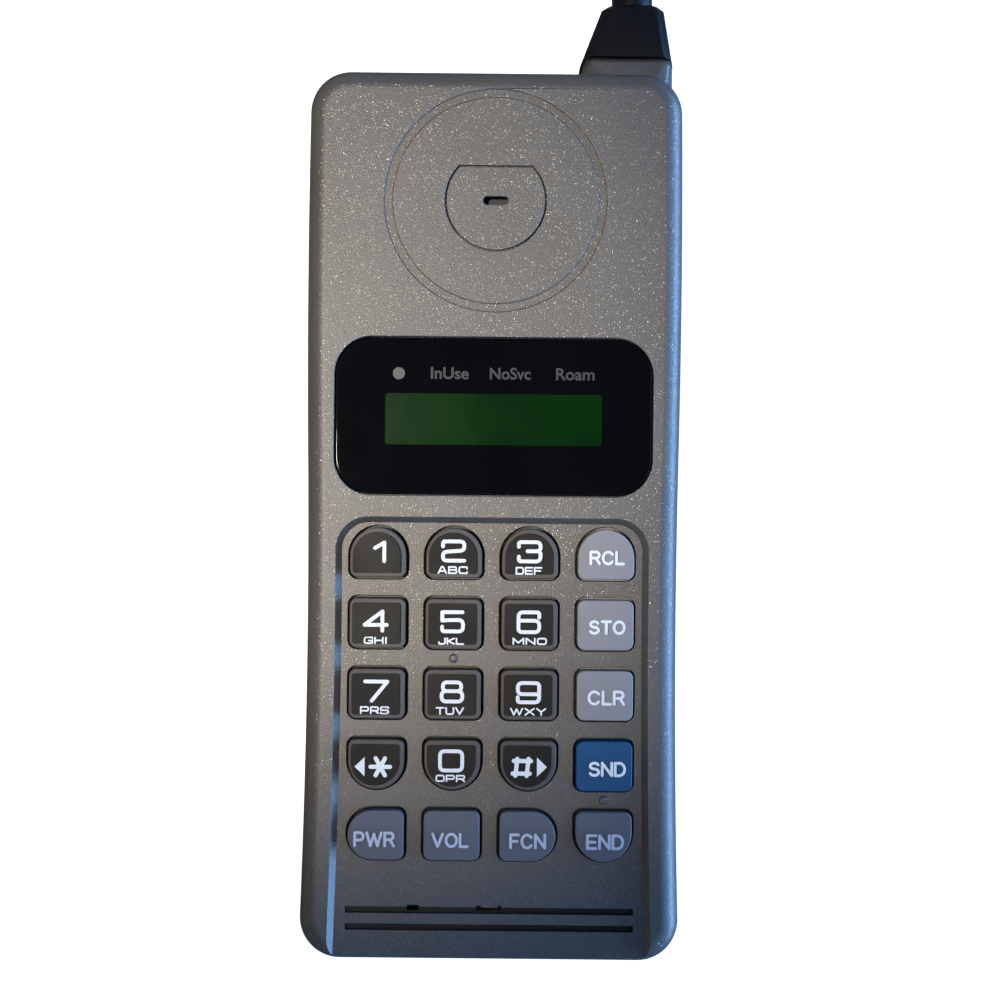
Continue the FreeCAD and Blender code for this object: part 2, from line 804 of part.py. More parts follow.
# The twenty keys: name, column, row and which way the round end points
KEYS = [
    ("key_1", 0, 0, "up"),
    ("key_2", 1, 0, "up"),
    ("key_3", 2, 0, "up"),
    ("key_recall", 3, 0, "up"),
    ("key_4", 0, 1, "square"),
    ("key_5", 1, 1, "square"),
    ("key_6", 2, 1, "square"),
    ("key_store", 3, 1, "square"),
    ("key_7", 0, 2, "square"),
    ("key_8", 1, 2, "square"),
    ("key_9", 2, 2, "square"),
    ("key_clear", 3, 2, "square"),
    ("key_star", 0, 3, "down"),
    ("key_0", 1, 3, "down"),
    ("key_pound", 2, 3, "down"),
    ("key_send", 3, 3, "square"),
    ("key_power", 0, 4, "left"),
    ("key_volume", 1, 4, "square"),
    ("key_function", 2, 4, "right"),
    ("key_end", 3, 4, "down"),
]
# How a key's outline is turned, as the places that x and y come from
TURNS = {
    "square": lambda x, y: (x, y),
    "up": lambda x, y: (x, y),
    "left": lambda x, y: (-y, x),
    "down": lambda x, y: (-x, -y),
    "right": lambda x, y: (y, -x),
}


def key_outline(kind, grow, across=0, along=0):
    """Points round a key or its hole, grown all round, with the round end turned."""
    width = S.key_width + grow * 2
    length = S.key_length + grow * 2
    radius = S.key_corner + grow
    if kind == "square":
        points = soft_corners(-(width / 2), width / 2, -(length / 2), length / 2, radius)
    elif kind in ("left", "right"):
        points = tombstone(length, width, radius)
    else:
        points = tombstone(width, length, radius)
    turned = [TURNS[kind](x, y) for x, y in points]
    return [(x + across, y + along) for x, y in turned]


def screw_circles(body, name, height, radius, rows):
    """One circle at each screw of the given rows."""
    drawing = Drawing(body, name, height)
    for place in rows:
        drawing.circle(-screw_aside, place, radius, SMALL_ROUND)
        drawing.circle(screw_aside, place, radius, SMALL_ROUND)
    return drawing


BAY_SCREWS = [S.screw_low, screw_middle]
ALL_SCREWS = BAY_SCREWS + [screw_high]


def make_front_housing():
    """Front shell: outline, recess, key holes, lens seat, earpiece seat, slots and bosses."""
    body = new_body("front_housing")
    outline = Drawing(body, "Outline", parting_height)
    outline.case_outline(0)
    pad(body, "Shell", outline, body_height - parting_height)
    fillet(body, "FrontEdge", edges_at(body.Shape, body_height), S.front_edge_radius)

    inside = Drawing(body, "Inside", parting_height)
    inside.case_outline(S.side_wall)
    pocket(body, "Cavity", inside, cavity_top - parting_height, upward=True)

    panel = Drawing(body, "PanelOutline", body_height)
    panel.recess_outline(S.recess_slope)
    pocket(body, "Panel", panel, S.recess_depth)
    walls, floor = panel_faces(body.Shape)
    lean(body, "PanelSlope", walls, S.recess_slope, S.recess_depth, floor)

    half_width = lens_half_width + S.lens_gap
    half_length = S.lens_length / 2 + S.lens_gap
    seat = Drawing(body, "LensSeatOutline", body_height)
    seat.rounded(-half_width, half_width, lens_place - half_length, lens_place + half_length,
                 S.lens_corner + S.lens_gap)
    pocket(body, "LensSeat", seat, S.lens_sink + S.lens_thickness)
    aperture = Drawing(body, "ApertureOutline", body_height)
    aperture.rectangle(-aperture_half_width, aperture_half_width,
                       lens_place - aperture_half_length, lens_place + aperture_half_length)
    pocket(body, "Aperture", aperture, S.front_wall * 2)

    ring = Drawing(body, "RingOutline", body_height)
    ring.circle(0, ear_place, S.ring_outer_radius)
    ring.circle(0, ear_place, S.ring_outer_radius - S.ring_width)
    pocket(body, "RingGroove", ring, S.ring_depth)
    insert_seat = Drawing(body, "InsertSeatOutline", body_height)
    insert_seat.flat_topped_circle(ear_place, S.insert_radius + S.insert_gap, S.insert_flat + S.insert_gap)
    pocket(body, "InsertSeat", insert_seat, S.insert_thickness)
    ear_port = Drawing(body, "EarPortOutline", body_height)
    ear_port.circle(0, ear_place, S.ear_port_radius, LARGE_ROUND)
    pocket(body, "EarPort", ear_port, S.front_wall * 2)

    slots = Drawing(body, "MouthSlotsOutline", recess_floor)
    for place in (S.upper_slot, lower_slot):
        slots.rectangle(-slot_half_length, slot_half_length,
                        place - S.slot_width / 2, place + S.slot_width / 2)
    pocket(body, "MouthSlots", slots, S.slot_depth)
    ports = Drawing(body, "PortsOutline", recess_floor)
    port_low = S.upper_slot - S.slot_width / 2 + S.port_rise
    port_high = S.upper_slot + S.slot_width / 2 + S.port_rise
    for place, width in ((ZERO, S.voice_port_width), (-S.vent_port_place, S.vent_port_width)):
        ports.rectangle(place - width / 2, place + width / 2, port_low, port_high)
    pocket(body, "Ports", ports, S.front_wall)

    nubs = Drawing(body, "NubsOutline", recess_floor)
    nubs.circle(column(1), (row(1) + row(2)) / 2, S.nub_radius, HIDDEN_ROUND)
    nubs.circle(column(3), (row(3) + row(4)) / 2, S.nub_radius, HIDDEN_ROUND)
    pad(body, "Nubs", nubs, S.nub_height)

    bosses = screw_circles(body, "BossesOutline", cavity_top, S.boss_radius, ALL_SCREWS)
    pad(body, "Bosses", bosses, cavity_top - parting_height, downward=True)
    pilots = screw_circles(body, "PilotsOutline", parting_height,
                           S.screw_shank_radius + S.fit_gap / 2, ALL_SCREWS)
    pocket(body, "Pilots", pilots, S.screw_grip + S.fit_gap * 3, upward=True)

    cup = Drawing(body, "EarCupOutline", cavity_top)
    cup.circle(0, ear_place, ear_cup_radius, LARGE_ROUND)
    cup.circle(0, ear_place, ear_cup_radius - S.capsule_ring_wall, LARGE_ROUND)
    pad(body, "EarCup", cup, S.gasket_thickness + S.capsule_height, downward=True)

    tongue = Drawing(body, "TongueOutline", parting_height)
    tongue.case_outline(S.side_wall - S.tongue_width)
    tongue.case_outline(S.side_wall)
    pad(body, "Tongue", tongue, S.tongue_height, downward=True)

    rows = [
        ("TopRow", "up", 0, KEY_COLUMNS, 1),
        ("MiddleRows", "square", 2, KEY_COLUMNS, 2),
        ("DialRow", "down", 3, KEY_COLUMNS - 1, 1),
    ]
    for name, kind, line, count, lines in rows:
        drawing = Drawing(body, name + "Outline", recess_floor, across=column(0), along=row(line))
        drawing.polygon(key_outline(kind, S.key_gap))
        hole = pocket(body, name, drawing, S.front_wall)
        if lines > 1:
            repeat(body, name + "Pattern", hole, "X_Axis", S.key_pitch_across, count,
                   "Y_Axis", S.key_pitch_along, lines)
        else:
            repeat(body, name + "Pattern", hole, "X_Axis", S.key_pitch_across, count)
    others = Drawing(body, "OtherHolesOutline", recess_floor)
    for name, across, line, kind in KEYS[-KEY_COLUMNS - 1:]:
        others.polygon(key_outline(kind, S.key_gap, column(across), row(line)))
    pocket(body, "OtherHoles", others, S.front_wall)


def panel_faces(shape):
    """Names of the upright walls round the keypad panel, and of the floor between them."""
    walls, floor = [], None
    for number, face in enumerate(shape.Faces, start=1):
        bounds = face.BoundBox
        if abs(bounds.ZMin - recess_floor.value) > 1e-4:
            continue
        if bounds.ZLength > 1e-4:
            walls.append(f"Face{number}")
        else:
            floor = f"Face{number}"
    return walls, floor


def make_rear_housing():
    """Rear shell: full depth at the top, cut back below for the battery bay."""
    body = new_body("rear_housing")
    outline = Drawing(body, "Outline")
    outline.case_outline(0)
    pad(body, "Shell", outline, parting_height)
    fillet(body, "BackEdge", edges_at(body.Shape, ZERO), S.back_edge_radius)
    bay = Drawing(body, "BayOutline")
    bay.rectangle(-outside, outside, -outside, bay_end)
    pocket(body, "Bay", bay, bay_floor, upward=True)

    inside = Drawing(body, "Inside", parting_height)
    inside.case_outline(S.side_wall)
    pocket(body, "Cavity", inside, parting_height - rear_floor)
    rebate = Drawing(body, "RebateOutline", parting_height)
    rebate.case_outline(S.side_wall - S.tongue_width - S.fit_gap)
    pocket(body, "Rebate", rebate, S.tongue_height + S.fit_gap)
    half_hump = screw_aside + S.boss_radius
    hump = Drawing(body, "HumpOutline", rear_floor)
    hump.soft_rectangle(-half_hump, half_hump, hump_start, body_length - S.side_wall, S.corner_radius)
    pocket(body, "Hump", hump, rear_floor - S.back_wall)

    stub = Drawing(body, "StubOutline", antenna_height - S.stub_half_depth)
    stub_outline(stub, ZERO, stub_root)
    pad(body, "Stub", stub, S.stub_half_depth * 2)
    long_edges = [
        number for number, edge in enumerate(body.Shape.Edges, start=1)
        if edge.BoundBox.YMax > stub_top.value - S.stub_shoulder.value * 2 - body_length.value / 2
        and edge.BoundBox.ZLength < 1e-4
    ]
    chamfer(body, "StubEdges", [f"Edge{number}" for number in long_edges], S.stub_edge)
    bore = Drawing(body, "AntennaBore", -(stub_root - S.fit_gap), "XZ_Plane")
    bore.circle(antenna_aside, antenna_height, S.socket_radius + S.fit_gap / 2, BORE_ROUND)
    pocket(body, "AntennaSeat", bore, body_length - stub_root + S.fit_gap * 2)
    neck = Drawing(body, "NeckOutline", -stub_root, "XZ_Plane")
    neck.circle(antenna_aside, antenna_height, S.rod_collar_radius + S.fit_gap, HIDDEN_ROUND)
    pocket(body, "Neck", neck, stub_top)

    bay_bosses = screw_circles(body, "BayBossesOutline", rear_floor, S.boss_radius, BAY_SCREWS)
    pad(body, "BayBosses", bay_bosses, parting_height - rear_floor)
    tall_bosses = screw_circles(body, "TallBossesOutline", S.back_wall, S.boss_radius + S.fit_gap * 2,
                                [screw_high])
    pad(body, "TallBosses", tall_bosses, parting_height - S.back_wall)
    wells = screw_circles(body, "WellsOutline", 0, S.screw_head_radius + S.fit_gap, ALL_SCREWS)
    pocket(body, "Wells", wells, bay_floor + S.screw_seat_depth, upward=True)
    shanks = screw_circles(body, "ShanksOutline", 0, S.screw_shank_radius + S.fit_gap, ALL_SCREWS)
    pocket(body, "Shanks", shanks, parting_height, upward=True)

    posts = Drawing(body, "PostsOutline", rear_floor)
    for side in (-1, 1):
        for place in (S.post_low, post_high):
            posts.circle(S.post_aside * side, place, S.post_radius, SMALL_ROUND)
    pad(body, "Posts", posts, main_board_height - rear_floor)

    for name, place in (("LowSlots", S.hook_low), ("HighSlots", hook_high)):
        slot = Drawing(body, name + "Outline", bay_floor)
        for side in (-1, 1):
            keyhole(slot, S.hook_aside * side, place)
        pocket(body, name, slot, S.floor_wall, upward=True)
    notch = Drawing(body, "NotchOutline", bay_floor)
    half_top = S.catch_top / 2 + S.catch_foot
    notch.rectangle(-(S.catch_width / 2) - S.hook_gap, S.catch_width / 2 + S.hook_gap,
                    catch_place - half_top, catch_place + half_top)
    pocket(body, "Notch", notch, S.catch_rise + S.fit_gap, upward=True)

    window = Drawing(body, "ContactWindow", -(bay_end - S.fit_gap), "XZ_Plane")
    window.rectangle(-S.connector_half_width, S.connector_half_width,
                     S.contact_height - S.connector_nose / 2, S.contact_height + S.connector_nose / 2)
    pocket(body, "Window", window, hump_start - bay_end + S.fit_gap * 2)
    jack = Drawing(body, "JackOutline", S.fit_gap, "XZ_Plane")
    jack.rectangle(-S.jack_half_width, S.jack_half_width, main_board_top, main_board_top + S.jack_height)
    pocket(body, "Jack", jack, S.side_wall + S.fit_gap * 2)


def stub_outline(drawing, grow, low):
    """Front view of the antenna stub: leaning left side and round shoulders under the boot."""
    left, right, top = stub_left, stub_right, stub_top
    shoulder = S.stub_shoulder
    drawing.polygon([
        (left - S.stub_lean - grow, low),
        (right + grow, low),
        (right + grow, top - shoulder + grow),
        (right - shoulder * ROUND_SHARE + grow, top - shoulder * ROUND_SHARE + grow),
        (right - shoulder + grow, top + grow),
        (left + shoulder - grow, top + grow),
        (left + shoulder * ROUND_SHARE - grow, top - shoulder * ROUND_SHARE + grow),
        (left - grow, top - shoulder + grow),
    ])


def keyhole(drawing, aside, place):
    """One slot in the bay floor: a wide way in below a narrow seat for a hook's neck."""
    gap = S.hook_gap
    low = place - S.hook_length / 2 - S.pack_slide - gap
    step = place + S.hook_length / 2 - S.pack_slide + gap
    high = place + S.hook_length / 2 + gap
    wide = S.hook_head / 2 + gap
    narrow = S.hook_neck / 2 + gap
    drawing.polygon([
        (aside - wide, low),
        (aside + wide, low),
        (aside + wide, step),
        (aside + narrow, step),
        (aside + narrow, high),
        (aside - narrow, high),
        (aside - narrow, step),
        (aside - wide, step),
    ])


def make_lens():
    """Display lens: a flat plate with round corners and a bevelled rim."""
    body = new_body("display_lens")
    drawing = Drawing(body, "Outline", lens_bottom)
    half_length = S.lens_length / 2
    drawing.rounded(-lens_half_width, lens_half_width, lens_place - half_length,
                    lens_place + half_length, S.lens_corner)
    pad(body, "Plate", drawing, S.lens_thickness)
    chamfer(body, "Rim", edges_at(body.Shape, lens_top), S.lens_bevel)


def make_filter():
    """Green filter over the display, just behind the lens."""
    body = new_body("display_filter")
    drawing = Drawing(body, "Outline", lens_bottom - S.filter_thickness - S.fit_gap)
    half_width = window_half_width + S.filter_lap
    half_length = S.window_length / 2 + S.filter_lap
    drawing.rectangle(-half_width, half_width, window_place - half_length, window_place + half_length)
    pad(body, "Sheet", drawing, S.filter_thickness)


def make_display():
    """Display module: a frame on the keypad board with the glass sunk in its top."""
    body = new_body("display_module")
    top = lens_bottom - S.filter_thickness - S.fit_gap * 2
    low = display_end - S.display_length
    drawing = Drawing(body, "Outline", keypad_board_top)
    drawing.rectangle(-display_half_width, display_half_width, low, display_end)
    pad(body, "Frame", drawing, top - keypad_board_top)
    glass = Drawing(body, "GlassOutline", top)
    glass.rectangle(S.display_wall - display_half_width, display_half_width - S.display_wall,
                    low + S.display_wall, display_end - S.display_wall)
    pocket(body, "Glass", glass, S.display_wall)


def make_indicators():
    """Four indicator lamps in a row above the display."""
    pieces = []
    places = [-S.indicator_dot, -S.indicator_left, S.indicator_middle, S.indicator_right]
    for number, place in enumerate(places, start=1):
        half = S.indicator_size / 2
        pieces.append(box(f"Indicator{number}",
                          (S.indicator_size, S.indicator_size, lens_bottom - S.lens_gap - keypad_board_top),
                          (place - half, indicator_place - half, keypad_board_top)))
    group("indicator_lamps", pieces)


def make_insert():
    """Earpiece insert: a disc with one flat edge, flush in the front face, with a sound slot."""
    body = new_body("earpiece_cover")
    drawing = Drawing(body, "Outline", body_height - S.insert_thickness)
    drawing.flat_topped_circle(ear_place, S.insert_radius, S.insert_flat)
    pad(body, "Plate", drawing, S.insert_thickness)
    slot = Drawing(body, "SlotOutline", body_height)
    slot.rounded(-(S.ear_slot_length / 2), S.ear_slot_length / 2, ear_place - S.ear_slot_width / 2,
                 ear_place + S.ear_slot_width / 2, S.ear_slot_width / 2 - S.fit_gap / 2)
    pocket(body, "Slot", slot, S.insert_thickness)


def tube(name, across, place, bottom, height, outer, sides, inner=None):
    """A hidden disc or ring standing on its end, as a piece of its own."""
    body = new_body(name)
    drawing = Drawing(body, "Outline", bottom)
    drawing.circle(across, place, outer, sides)
    if inner is not None:
        drawing.circle(across, place, inner, sides)
    pad(body, "Ring", drawing, height)
    return body


def make_sound_parts():
    """Earpiece capsule and gasket, microphone and boot, and the ringer."""
    gasket_bottom = cavity_top - S.gasket_thickness
    tube("earpiece_gasket", 0, ear_place, gasket_bottom, S.gasket_thickness, S.capsule_radius, LARGE_ROUND,
         S.capsule_radius - S.gasket_width)
    tube("earpiece", 0, ear_place, gasket_bottom - S.capsule_height, S.capsule_height,
         S.capsule_radius, LARGE_ROUND)

    outer = S.mic_radius + S.mic_boot_wall
    boot = tube("microphone_boot", 0, S.upper_slot, keypad_board_top, cavity_top - keypad_board_top,
                outer, HIDDEN_ROUND)
    hollow = Drawing(boot, "HollowOutline", keypad_board_top)
    hollow.circle(0, S.upper_slot, S.mic_radius + S.fit_gap, HIDDEN_ROUND)
    pocket(boot, "Hollow", hollow, S.mic_height + S.fit_gap, upward=True)
    port = Drawing(boot, "PortOutline", cavity_top)
    port.circle(0, S.upper_slot, S.mic_radius / 2, HIDDEN_ROUND)
    pocket(boot, "Port", port, cavity_top - keypad_board_top)
    tube("microphone", 0, S.upper_slot, keypad_board_top, S.mic_height, S.mic_radius, HIDDEN_ROUND)
    tube("ringer", -S.ringer_aside, ringer_place, main_board_height - S.ringer_height,
         S.ringer_height, S.ringer_radius, BORE_ROUND)


def make_key(name, across, line, kind):
    """One key: a bevelled cap on a flange that stops under the front wall."""
    body = new_body(name)
    bind(body, "Placement.Base.x", column(across))
    bind(body, "Placement.Base.y", row(line) + half_shift)
    half_width = S.key_width / 2 + S.key_gap + S.flange_lap
    half_length = S.key_length / 2 + S.key_gap + S.flange_lap
    flange = Drawing(body, "FlangeOutline", flange_bottom)
    flange.rectangle(-half_width, half_width, -half_length, half_length)
    pad(body, "Flange", flange, S.flange_thickness)
    cap = Drawing(body, "CapOutline", flange_top)
    cap.polygon(key_outline(kind, ZERO))
    pad(body, "Cap", cap, key_top - flange_top)
    chamfer(body, "Bevel", edges_at(body.Shape, key_top), S.key_bevel)


def make_mat():
    """Rubber mat over the keypad board, with one collapsing dome under each key."""
    body = new_body("keypad_mat")
    half_mat = board_half_width - S.mat_edge
    drawing = Drawing(body, "Outline", keypad_board_top)
    drawing.rectangle(-half_mat, half_mat, mat_start, mat_end)
    pad(body, "Sheet", drawing, S.mat_thickness)
    foot = Drawing(body, "DomeOutline", mat_top, across=column(0), along=row(KEY_ROWS - 1))
    half_width, half_length = S.dome_width / 2, S.dome_length / 2
    foot.rectangle(-half_width, half_width, -half_length, half_length)
    dome = pad(body, "Dome", foot, flange_bottom - mat_top)
    repeat(body, "Domes", dome, "X_Axis", S.key_pitch_across, KEY_COLUMNS,
           "Y_Axis", S.key_pitch_along, KEY_ROWS)
    chamfer(body, "DomeShoulders", edges_at(body.Shape, flange_bottom), S.dome_bevel)


def make_board(name, bottom, end, rows):
    """A circuit board that fits the case and is notched round the screw bosses."""
    body = new_body(name)
    drawing = Drawing(body, "Outline", bottom)
    drawing.soft_rectangle(-board_half_width, board_half_width, S.side_wall + S.board_edge_gap, end,
                           S.corner_radius - S.side_wall)
    pad(body, "Board", drawing, S.board_thickness)
    notches = Drawing(body, "NotchesOutline", bottom)
    for place in rows:
        for side in (-1, 1):
            inner = (screw_aside - notch_reach) * side
            outer = (board_half_width + notch_reach) * side
            notches.rectangle(inner, outer, place - notch_reach, place + notch_reach)
    pocket(body, "Notches", notches, S.board_thickness, upward=True)
    return body


def make_boards():
    """Main board, keypad board, shield can and the header that joins the boards."""
    make_board("keypad_board", keypad_board_height, keypad_board_end, BAY_SCREWS)
    make_board("main_board", main_board_height, main_board_end, ALL_SCREWS)

    can = new_body("shield_can")
    drawing = Drawing(can, "Outline", main_board_top)
    drawing.rectangle(-can_half_width, can_half_width, S.can_start, can_end)
    pad(can, "Can", drawing, S.can_height)
    hollow = Drawing(can, "HollowOutline", main_board_top)
    hollow.rectangle(S.can_sheet - can_half_width, can_half_width - S.can_sheet,
                     S.can_start + S.can_sheet, can_end - S.can_sheet)
    pocket(can, "Hollow", hollow, S.can_height - S.can_sheet, upward=True)

    header = new_body("board_header")
    drawing = Drawing(header, "Outline", main_board_top)
    drawing.rectangle(-S.header_half_width, S.header_half_width,
                      header_start, header_start + S.header_length)
    pad(header, "Header", drawing, keypad_board_height - main_board_top)


def group(name, pieces):
    """One node made of separate solids."""
    compound = doc.addObject("Part::Compound", name)
    compound.Label = name
    compound.Links = pieces
    bind(compound, "Placement.Base.y", half_shift)
    doc.recompute()
    parts.append(compound)


def box(name, size, place):
    """A plain block with bound size and place."""
    block = doc.addObject("Part::Box", name)
    for prop, length in zip(("Length", "Width", "Height"), size):
        bind(block, prop, length)
    for letter, start in zip("xyz", place):
        bind(block, f"Placement.Base.{letter}", start)
    return block


def rod(name, radius, length, across, along, up, sides=SMALL_ROUND, axis=Vector(0, 0, 1)):
    """A small round rod with bound size and place, for a group, drawn with equal sides."""
    prism = doc.addObject("Part::Prism", name)
    prism.Polygon = sides
    prism.Placement = Placement(Vector(), Rotation(Vector(0, 0, 1), axis))
    bind(prism, "Circumradius", radius)
    bind(prism, "Height", length)
    for letter, place in zip("xyz", (across, along, up)):
        bind(prism, f"Placement.Base.{letter}", place)
    return prism


def fused(name, first, second):
    """Two primitives joined to one solid."""
    joined = doc.addObject("Part::Fuse", name)
    joined.Base = first
    joined.Tool = second
    return joined


def make_screws():
    """Six equal case screws, put in from the back."""
    seat = bay_floor + S.screw_seat_depth
    screws = []
    for number, place in enumerate(ALL_SCREWS, start=1):
        for side, letter in ((-1, "Left"), (1, "Right")):
            aside = screw_aside * side
            head = rod(f"ScrewHead{letter}{number}", S.screw_head_radius, S.screw_head_height,
                       aside, place, seat - S.screw_head_height)
            shank = rod(f"ScrewShank{letter}{number}", S.screw_shank_radius,
                        parting_height - seat + S.screw_grip, aside, place, seat)
            screws.append(fused(f"Screw{letter}{number}", head, shank))
    group("case_screws", screws)


def make_antenna():
    """Antenna socket, stiff core with a collar, rubber boot, rubber sheath and contact clip."""
    x, z = antenna_aside, antenna_height
    socket = new_body("antenna_socket")
    ring = Drawing(socket, "Outline", -socket_start, "XZ_Plane")
    ring.circle(x, z, S.socket_radius, BORE_ROUND)
    ring.circle(x, z, S.rod_collar_radius + S.fit_gap, HIDDEN_ROUND)
    pad(socket, "Bush", ring, S.socket_length, downward=True)

    core = new_body("antenna_core")
    core_start = socket_start + S.fit_gap
    collar = Drawing(core, "CollarOutline", -core_start, "XZ_Plane")
    collar.circle(x, z, S.rod_collar_radius, HIDDEN_ROUND)
    pad(core, "Collar", collar, stub_top - S.fit_gap - core_start, downward=True)
    whip = Drawing(core, "WhipOutline", -core_start, "XZ_Plane")
    whip.circle(x, z, S.rod_radius, HIDDEN_ROUND)
    pad(core, "Whip", whip, antenna_tip - S.rod_tip_cover - core_start, downward=True)

    make_boot(x, z)
    make_sheath(x, z)

    clip_start = main_board_end - S.antenna_clip_width
    clip = box("antenna_clip",
               (S.antenna_clip_width, socket_start - S.fit_gap - clip_start, S.antenna_clip_sheet),
               (x - S.antenna_clip_width / 2, clip_start + half_shift, main_board_top))
    clip.Label = "antenna_clip"
    parts.append(clip)


def make_boot(x, z):
    """Antenna boot: narrows upward on all four sides, with bevelled corners, over the stub."""
    boot = new_body("antenna_boot")
    low = stub_top - S.boot_skirt
    front = Drawing(boot, "FrontOutline", z - boot_half_depth)
    front.polygon([
        (boot_left, low),
        (boot_right, low),
        (x + S.boot_top_half_width, boot_top),
        (x - S.boot_top_half_width, boot_top),
    ])
    pad(boot, "Block", front, boot_half_depth * 2)
    sides = Drawing(boot, "SidesOutline", boot_left - S.fit_gap, "YZ_Plane")
    for side in (-1, 1):
        sides.polygon([
            (low, z + boot_half_depth * side),
            (boot_top, z + S.boot_top_half_depth * side),
            (boot_top + S.fit_gap, z + S.boot_top_half_depth * side),
            (boot_top + S.fit_gap, z + (boot_half_depth + S.fit_gap) * side),
            (low, z + (boot_half_depth + S.fit_gap) * side),
        ])
    pocket(boot, "Sides", sides, boot_right - boot_left + S.fit_gap * 2, upward=True)
    chamfer(boot, "Corners", slanting_edges(boot.Shape), S.boot_corner)
    top = boot_top.value + half_shift.value
    rim = [
        f"Edge{number}" for number, edge in enumerate(boot.Shape.Edges, start=1)
        if abs(edge.BoundBox.YMin - top) < 1e-4
    ]
    chamfer(boot, "Shoulder", rim, S.boot_edge)
    underside = Drawing(boot, "UndersideOutline", z - boot_half_depth * 2)
    stub_outline(underside, S.fit_gap / 2, stub_root)
    pocket(boot, "Underside", underside, boot_half_depth * 4, upward=True)
    bore = Drawing(boot, "BoreOutline", -stub_root, "XZ_Plane")
    bore.circle(x, z, S.rod_radius + S.fit_gap, HIDDEN_ROUND)
    pocket(boot, "Bore", bore, boot_top)


def slanting_edges(shape):
    """Names of the edges that run along the boot and lean both inward and back."""
    names = []
    for number, edge in enumerate(shape.Edges, start=1):
        bounds = edge.BoundBox
        if min(bounds.XLength, bounds.YLength, bounds.ZLength) > 1e-4:
            names.append(f"Edge{number}")
    return names


def make_sheath(x, z):
    """Rubber sheath of the antenna: a turned sleeve with a domed tip."""
    sheath = new_body("antenna_sheath")
    profile = Drawing(sheath, "Profile", z, across=x)
    bore = S.rod_radius + S.fit_gap
    start = boot_top + S.fit_gap / 2
    bore_end = antenna_tip - S.rod_tip_cover + S.fit_gap * 2
    profile.polygon([
        (bore, start),
        (S.sheath_radius, start),
        (S.sheath_radius, antenna_tip - S.sheath_radius / 2),
        (S.sheath_radius / 2, antenna_tip),
        (0, antenna_tip),
        (0, bore_end),
        (bore, bore_end),
    ])
    turned = sheath.newObject("PartDesign::Revolution", "Turned")
    turned.Profile = profile.sketch
    turned.ReferenceAxis = (profile.sketch, ["V_Axis"])
    turned.Angle = 360
    finish(sheath)


def make_jack():
    """Accessory connector in the bottom end: a shell on the main board with a contact tongue."""
    body = new_body("accessory_connector")
    gap = S.fit_gap
    half_width = S.jack_half_width - gap
    low, high = main_board_top, main_board_top + S.jack_height - gap
    drawing = Drawing(body, "Outline", -S.jack_sink, "XZ_Plane")
    drawing.rectangle(-half_width, half_width, low, high)
    pad(body, "Block", drawing, S.jack_depth, downward=True)
    mouth = Drawing(body, "MouthOutline", -S.jack_sink, "XZ_Plane")
    half_mouth = half_width - S.jack_wall
    mouth.rectangle(-half_mouth, half_mouth, low + S.jack_wall, high - S.jack_wall)
    pocket(body, "Mouth", mouth, S.jack_mouth_depth)
    tongue = Drawing(body, "TongueOutline", -(S.jack_sink + S.jack_mouth_depth + gap), "XZ_Plane")
    middle = (low + high) / 2
    tongue.rectangle(S.jack_wall - half_mouth, half_mouth - S.jack_wall,
                     middle - S.jack_tongue / 2, middle + S.jack_tongue / 2)
    pad(body, "Tongue", tongue, S.jack_tongue_length + gap)


def make_contacts():
    """Battery connector in the shoulder of the bay, with its four sprung pins."""
    body = new_body("battery_connector")
    gap = S.fit_gap
    low = S.contact_height - S.connector_nose / 2
    high = S.contact_height + S.connector_nose / 2
    block = Drawing(body, "BlockOutline", -(hump_start + gap), "XZ_Plane")
    block.rectangle(-S.connector_half_width, S.connector_half_width,
                    low - S.connector_sole, main_board_height)
    pad(body, "Block", block, S.connector_depth, downward=True)
    nose = Drawing(body, "NoseOutline", -bay_end, "XZ_Plane")
    nose.rectangle(gap - S.connector_half_width, S.connector_half_width - gap, low + gap, high - gap)
    pad(body, "Nose", nose, hump_start - bay_end + gap * 2, downward=True)
    first = -(S.contact_pitch * (CONTACTS - 1) / 2)
    bore = Drawing(body, "PinBoreOutline", -(bay_end - gap), "XZ_Plane", across=first)
    half_bore = S.pin_width / 2 + gap / 2
    bore.rectangle(-half_bore, half_bore, S.contact_height - half_bore, S.contact_height + half_bore)
    hole = pocket(body, "PinBore", bore, S.pin_length)
    repeat(body, "PinBores", hole, "X_Axis", S.contact_pitch, CONTACTS)

    pins, terminals = [], []
    for number in range(CONTACTS):
        aside = first + S.contact_pitch * number
        pins.append(box(f"Pin{number + 1}",
                        (S.pin_width, S.pin_length - S.pin_gap, S.pin_width),
                        (aside - S.pin_width / 2, pack_end + S.pin_gap, S.contact_height - S.pin_width / 2)))
        terminals.append(box(f"Terminal{number + 1}",
                             (S.terminal_width, S.terminal_thickness, S.terminal_length),
                             (aside - S.terminal_width / 2, pack_end - S.terminal_thickness,
                              S.contact_height - S.terminal_length / 2)))
    group("contact_pins", pins)
    group("battery_terminals", terminals)


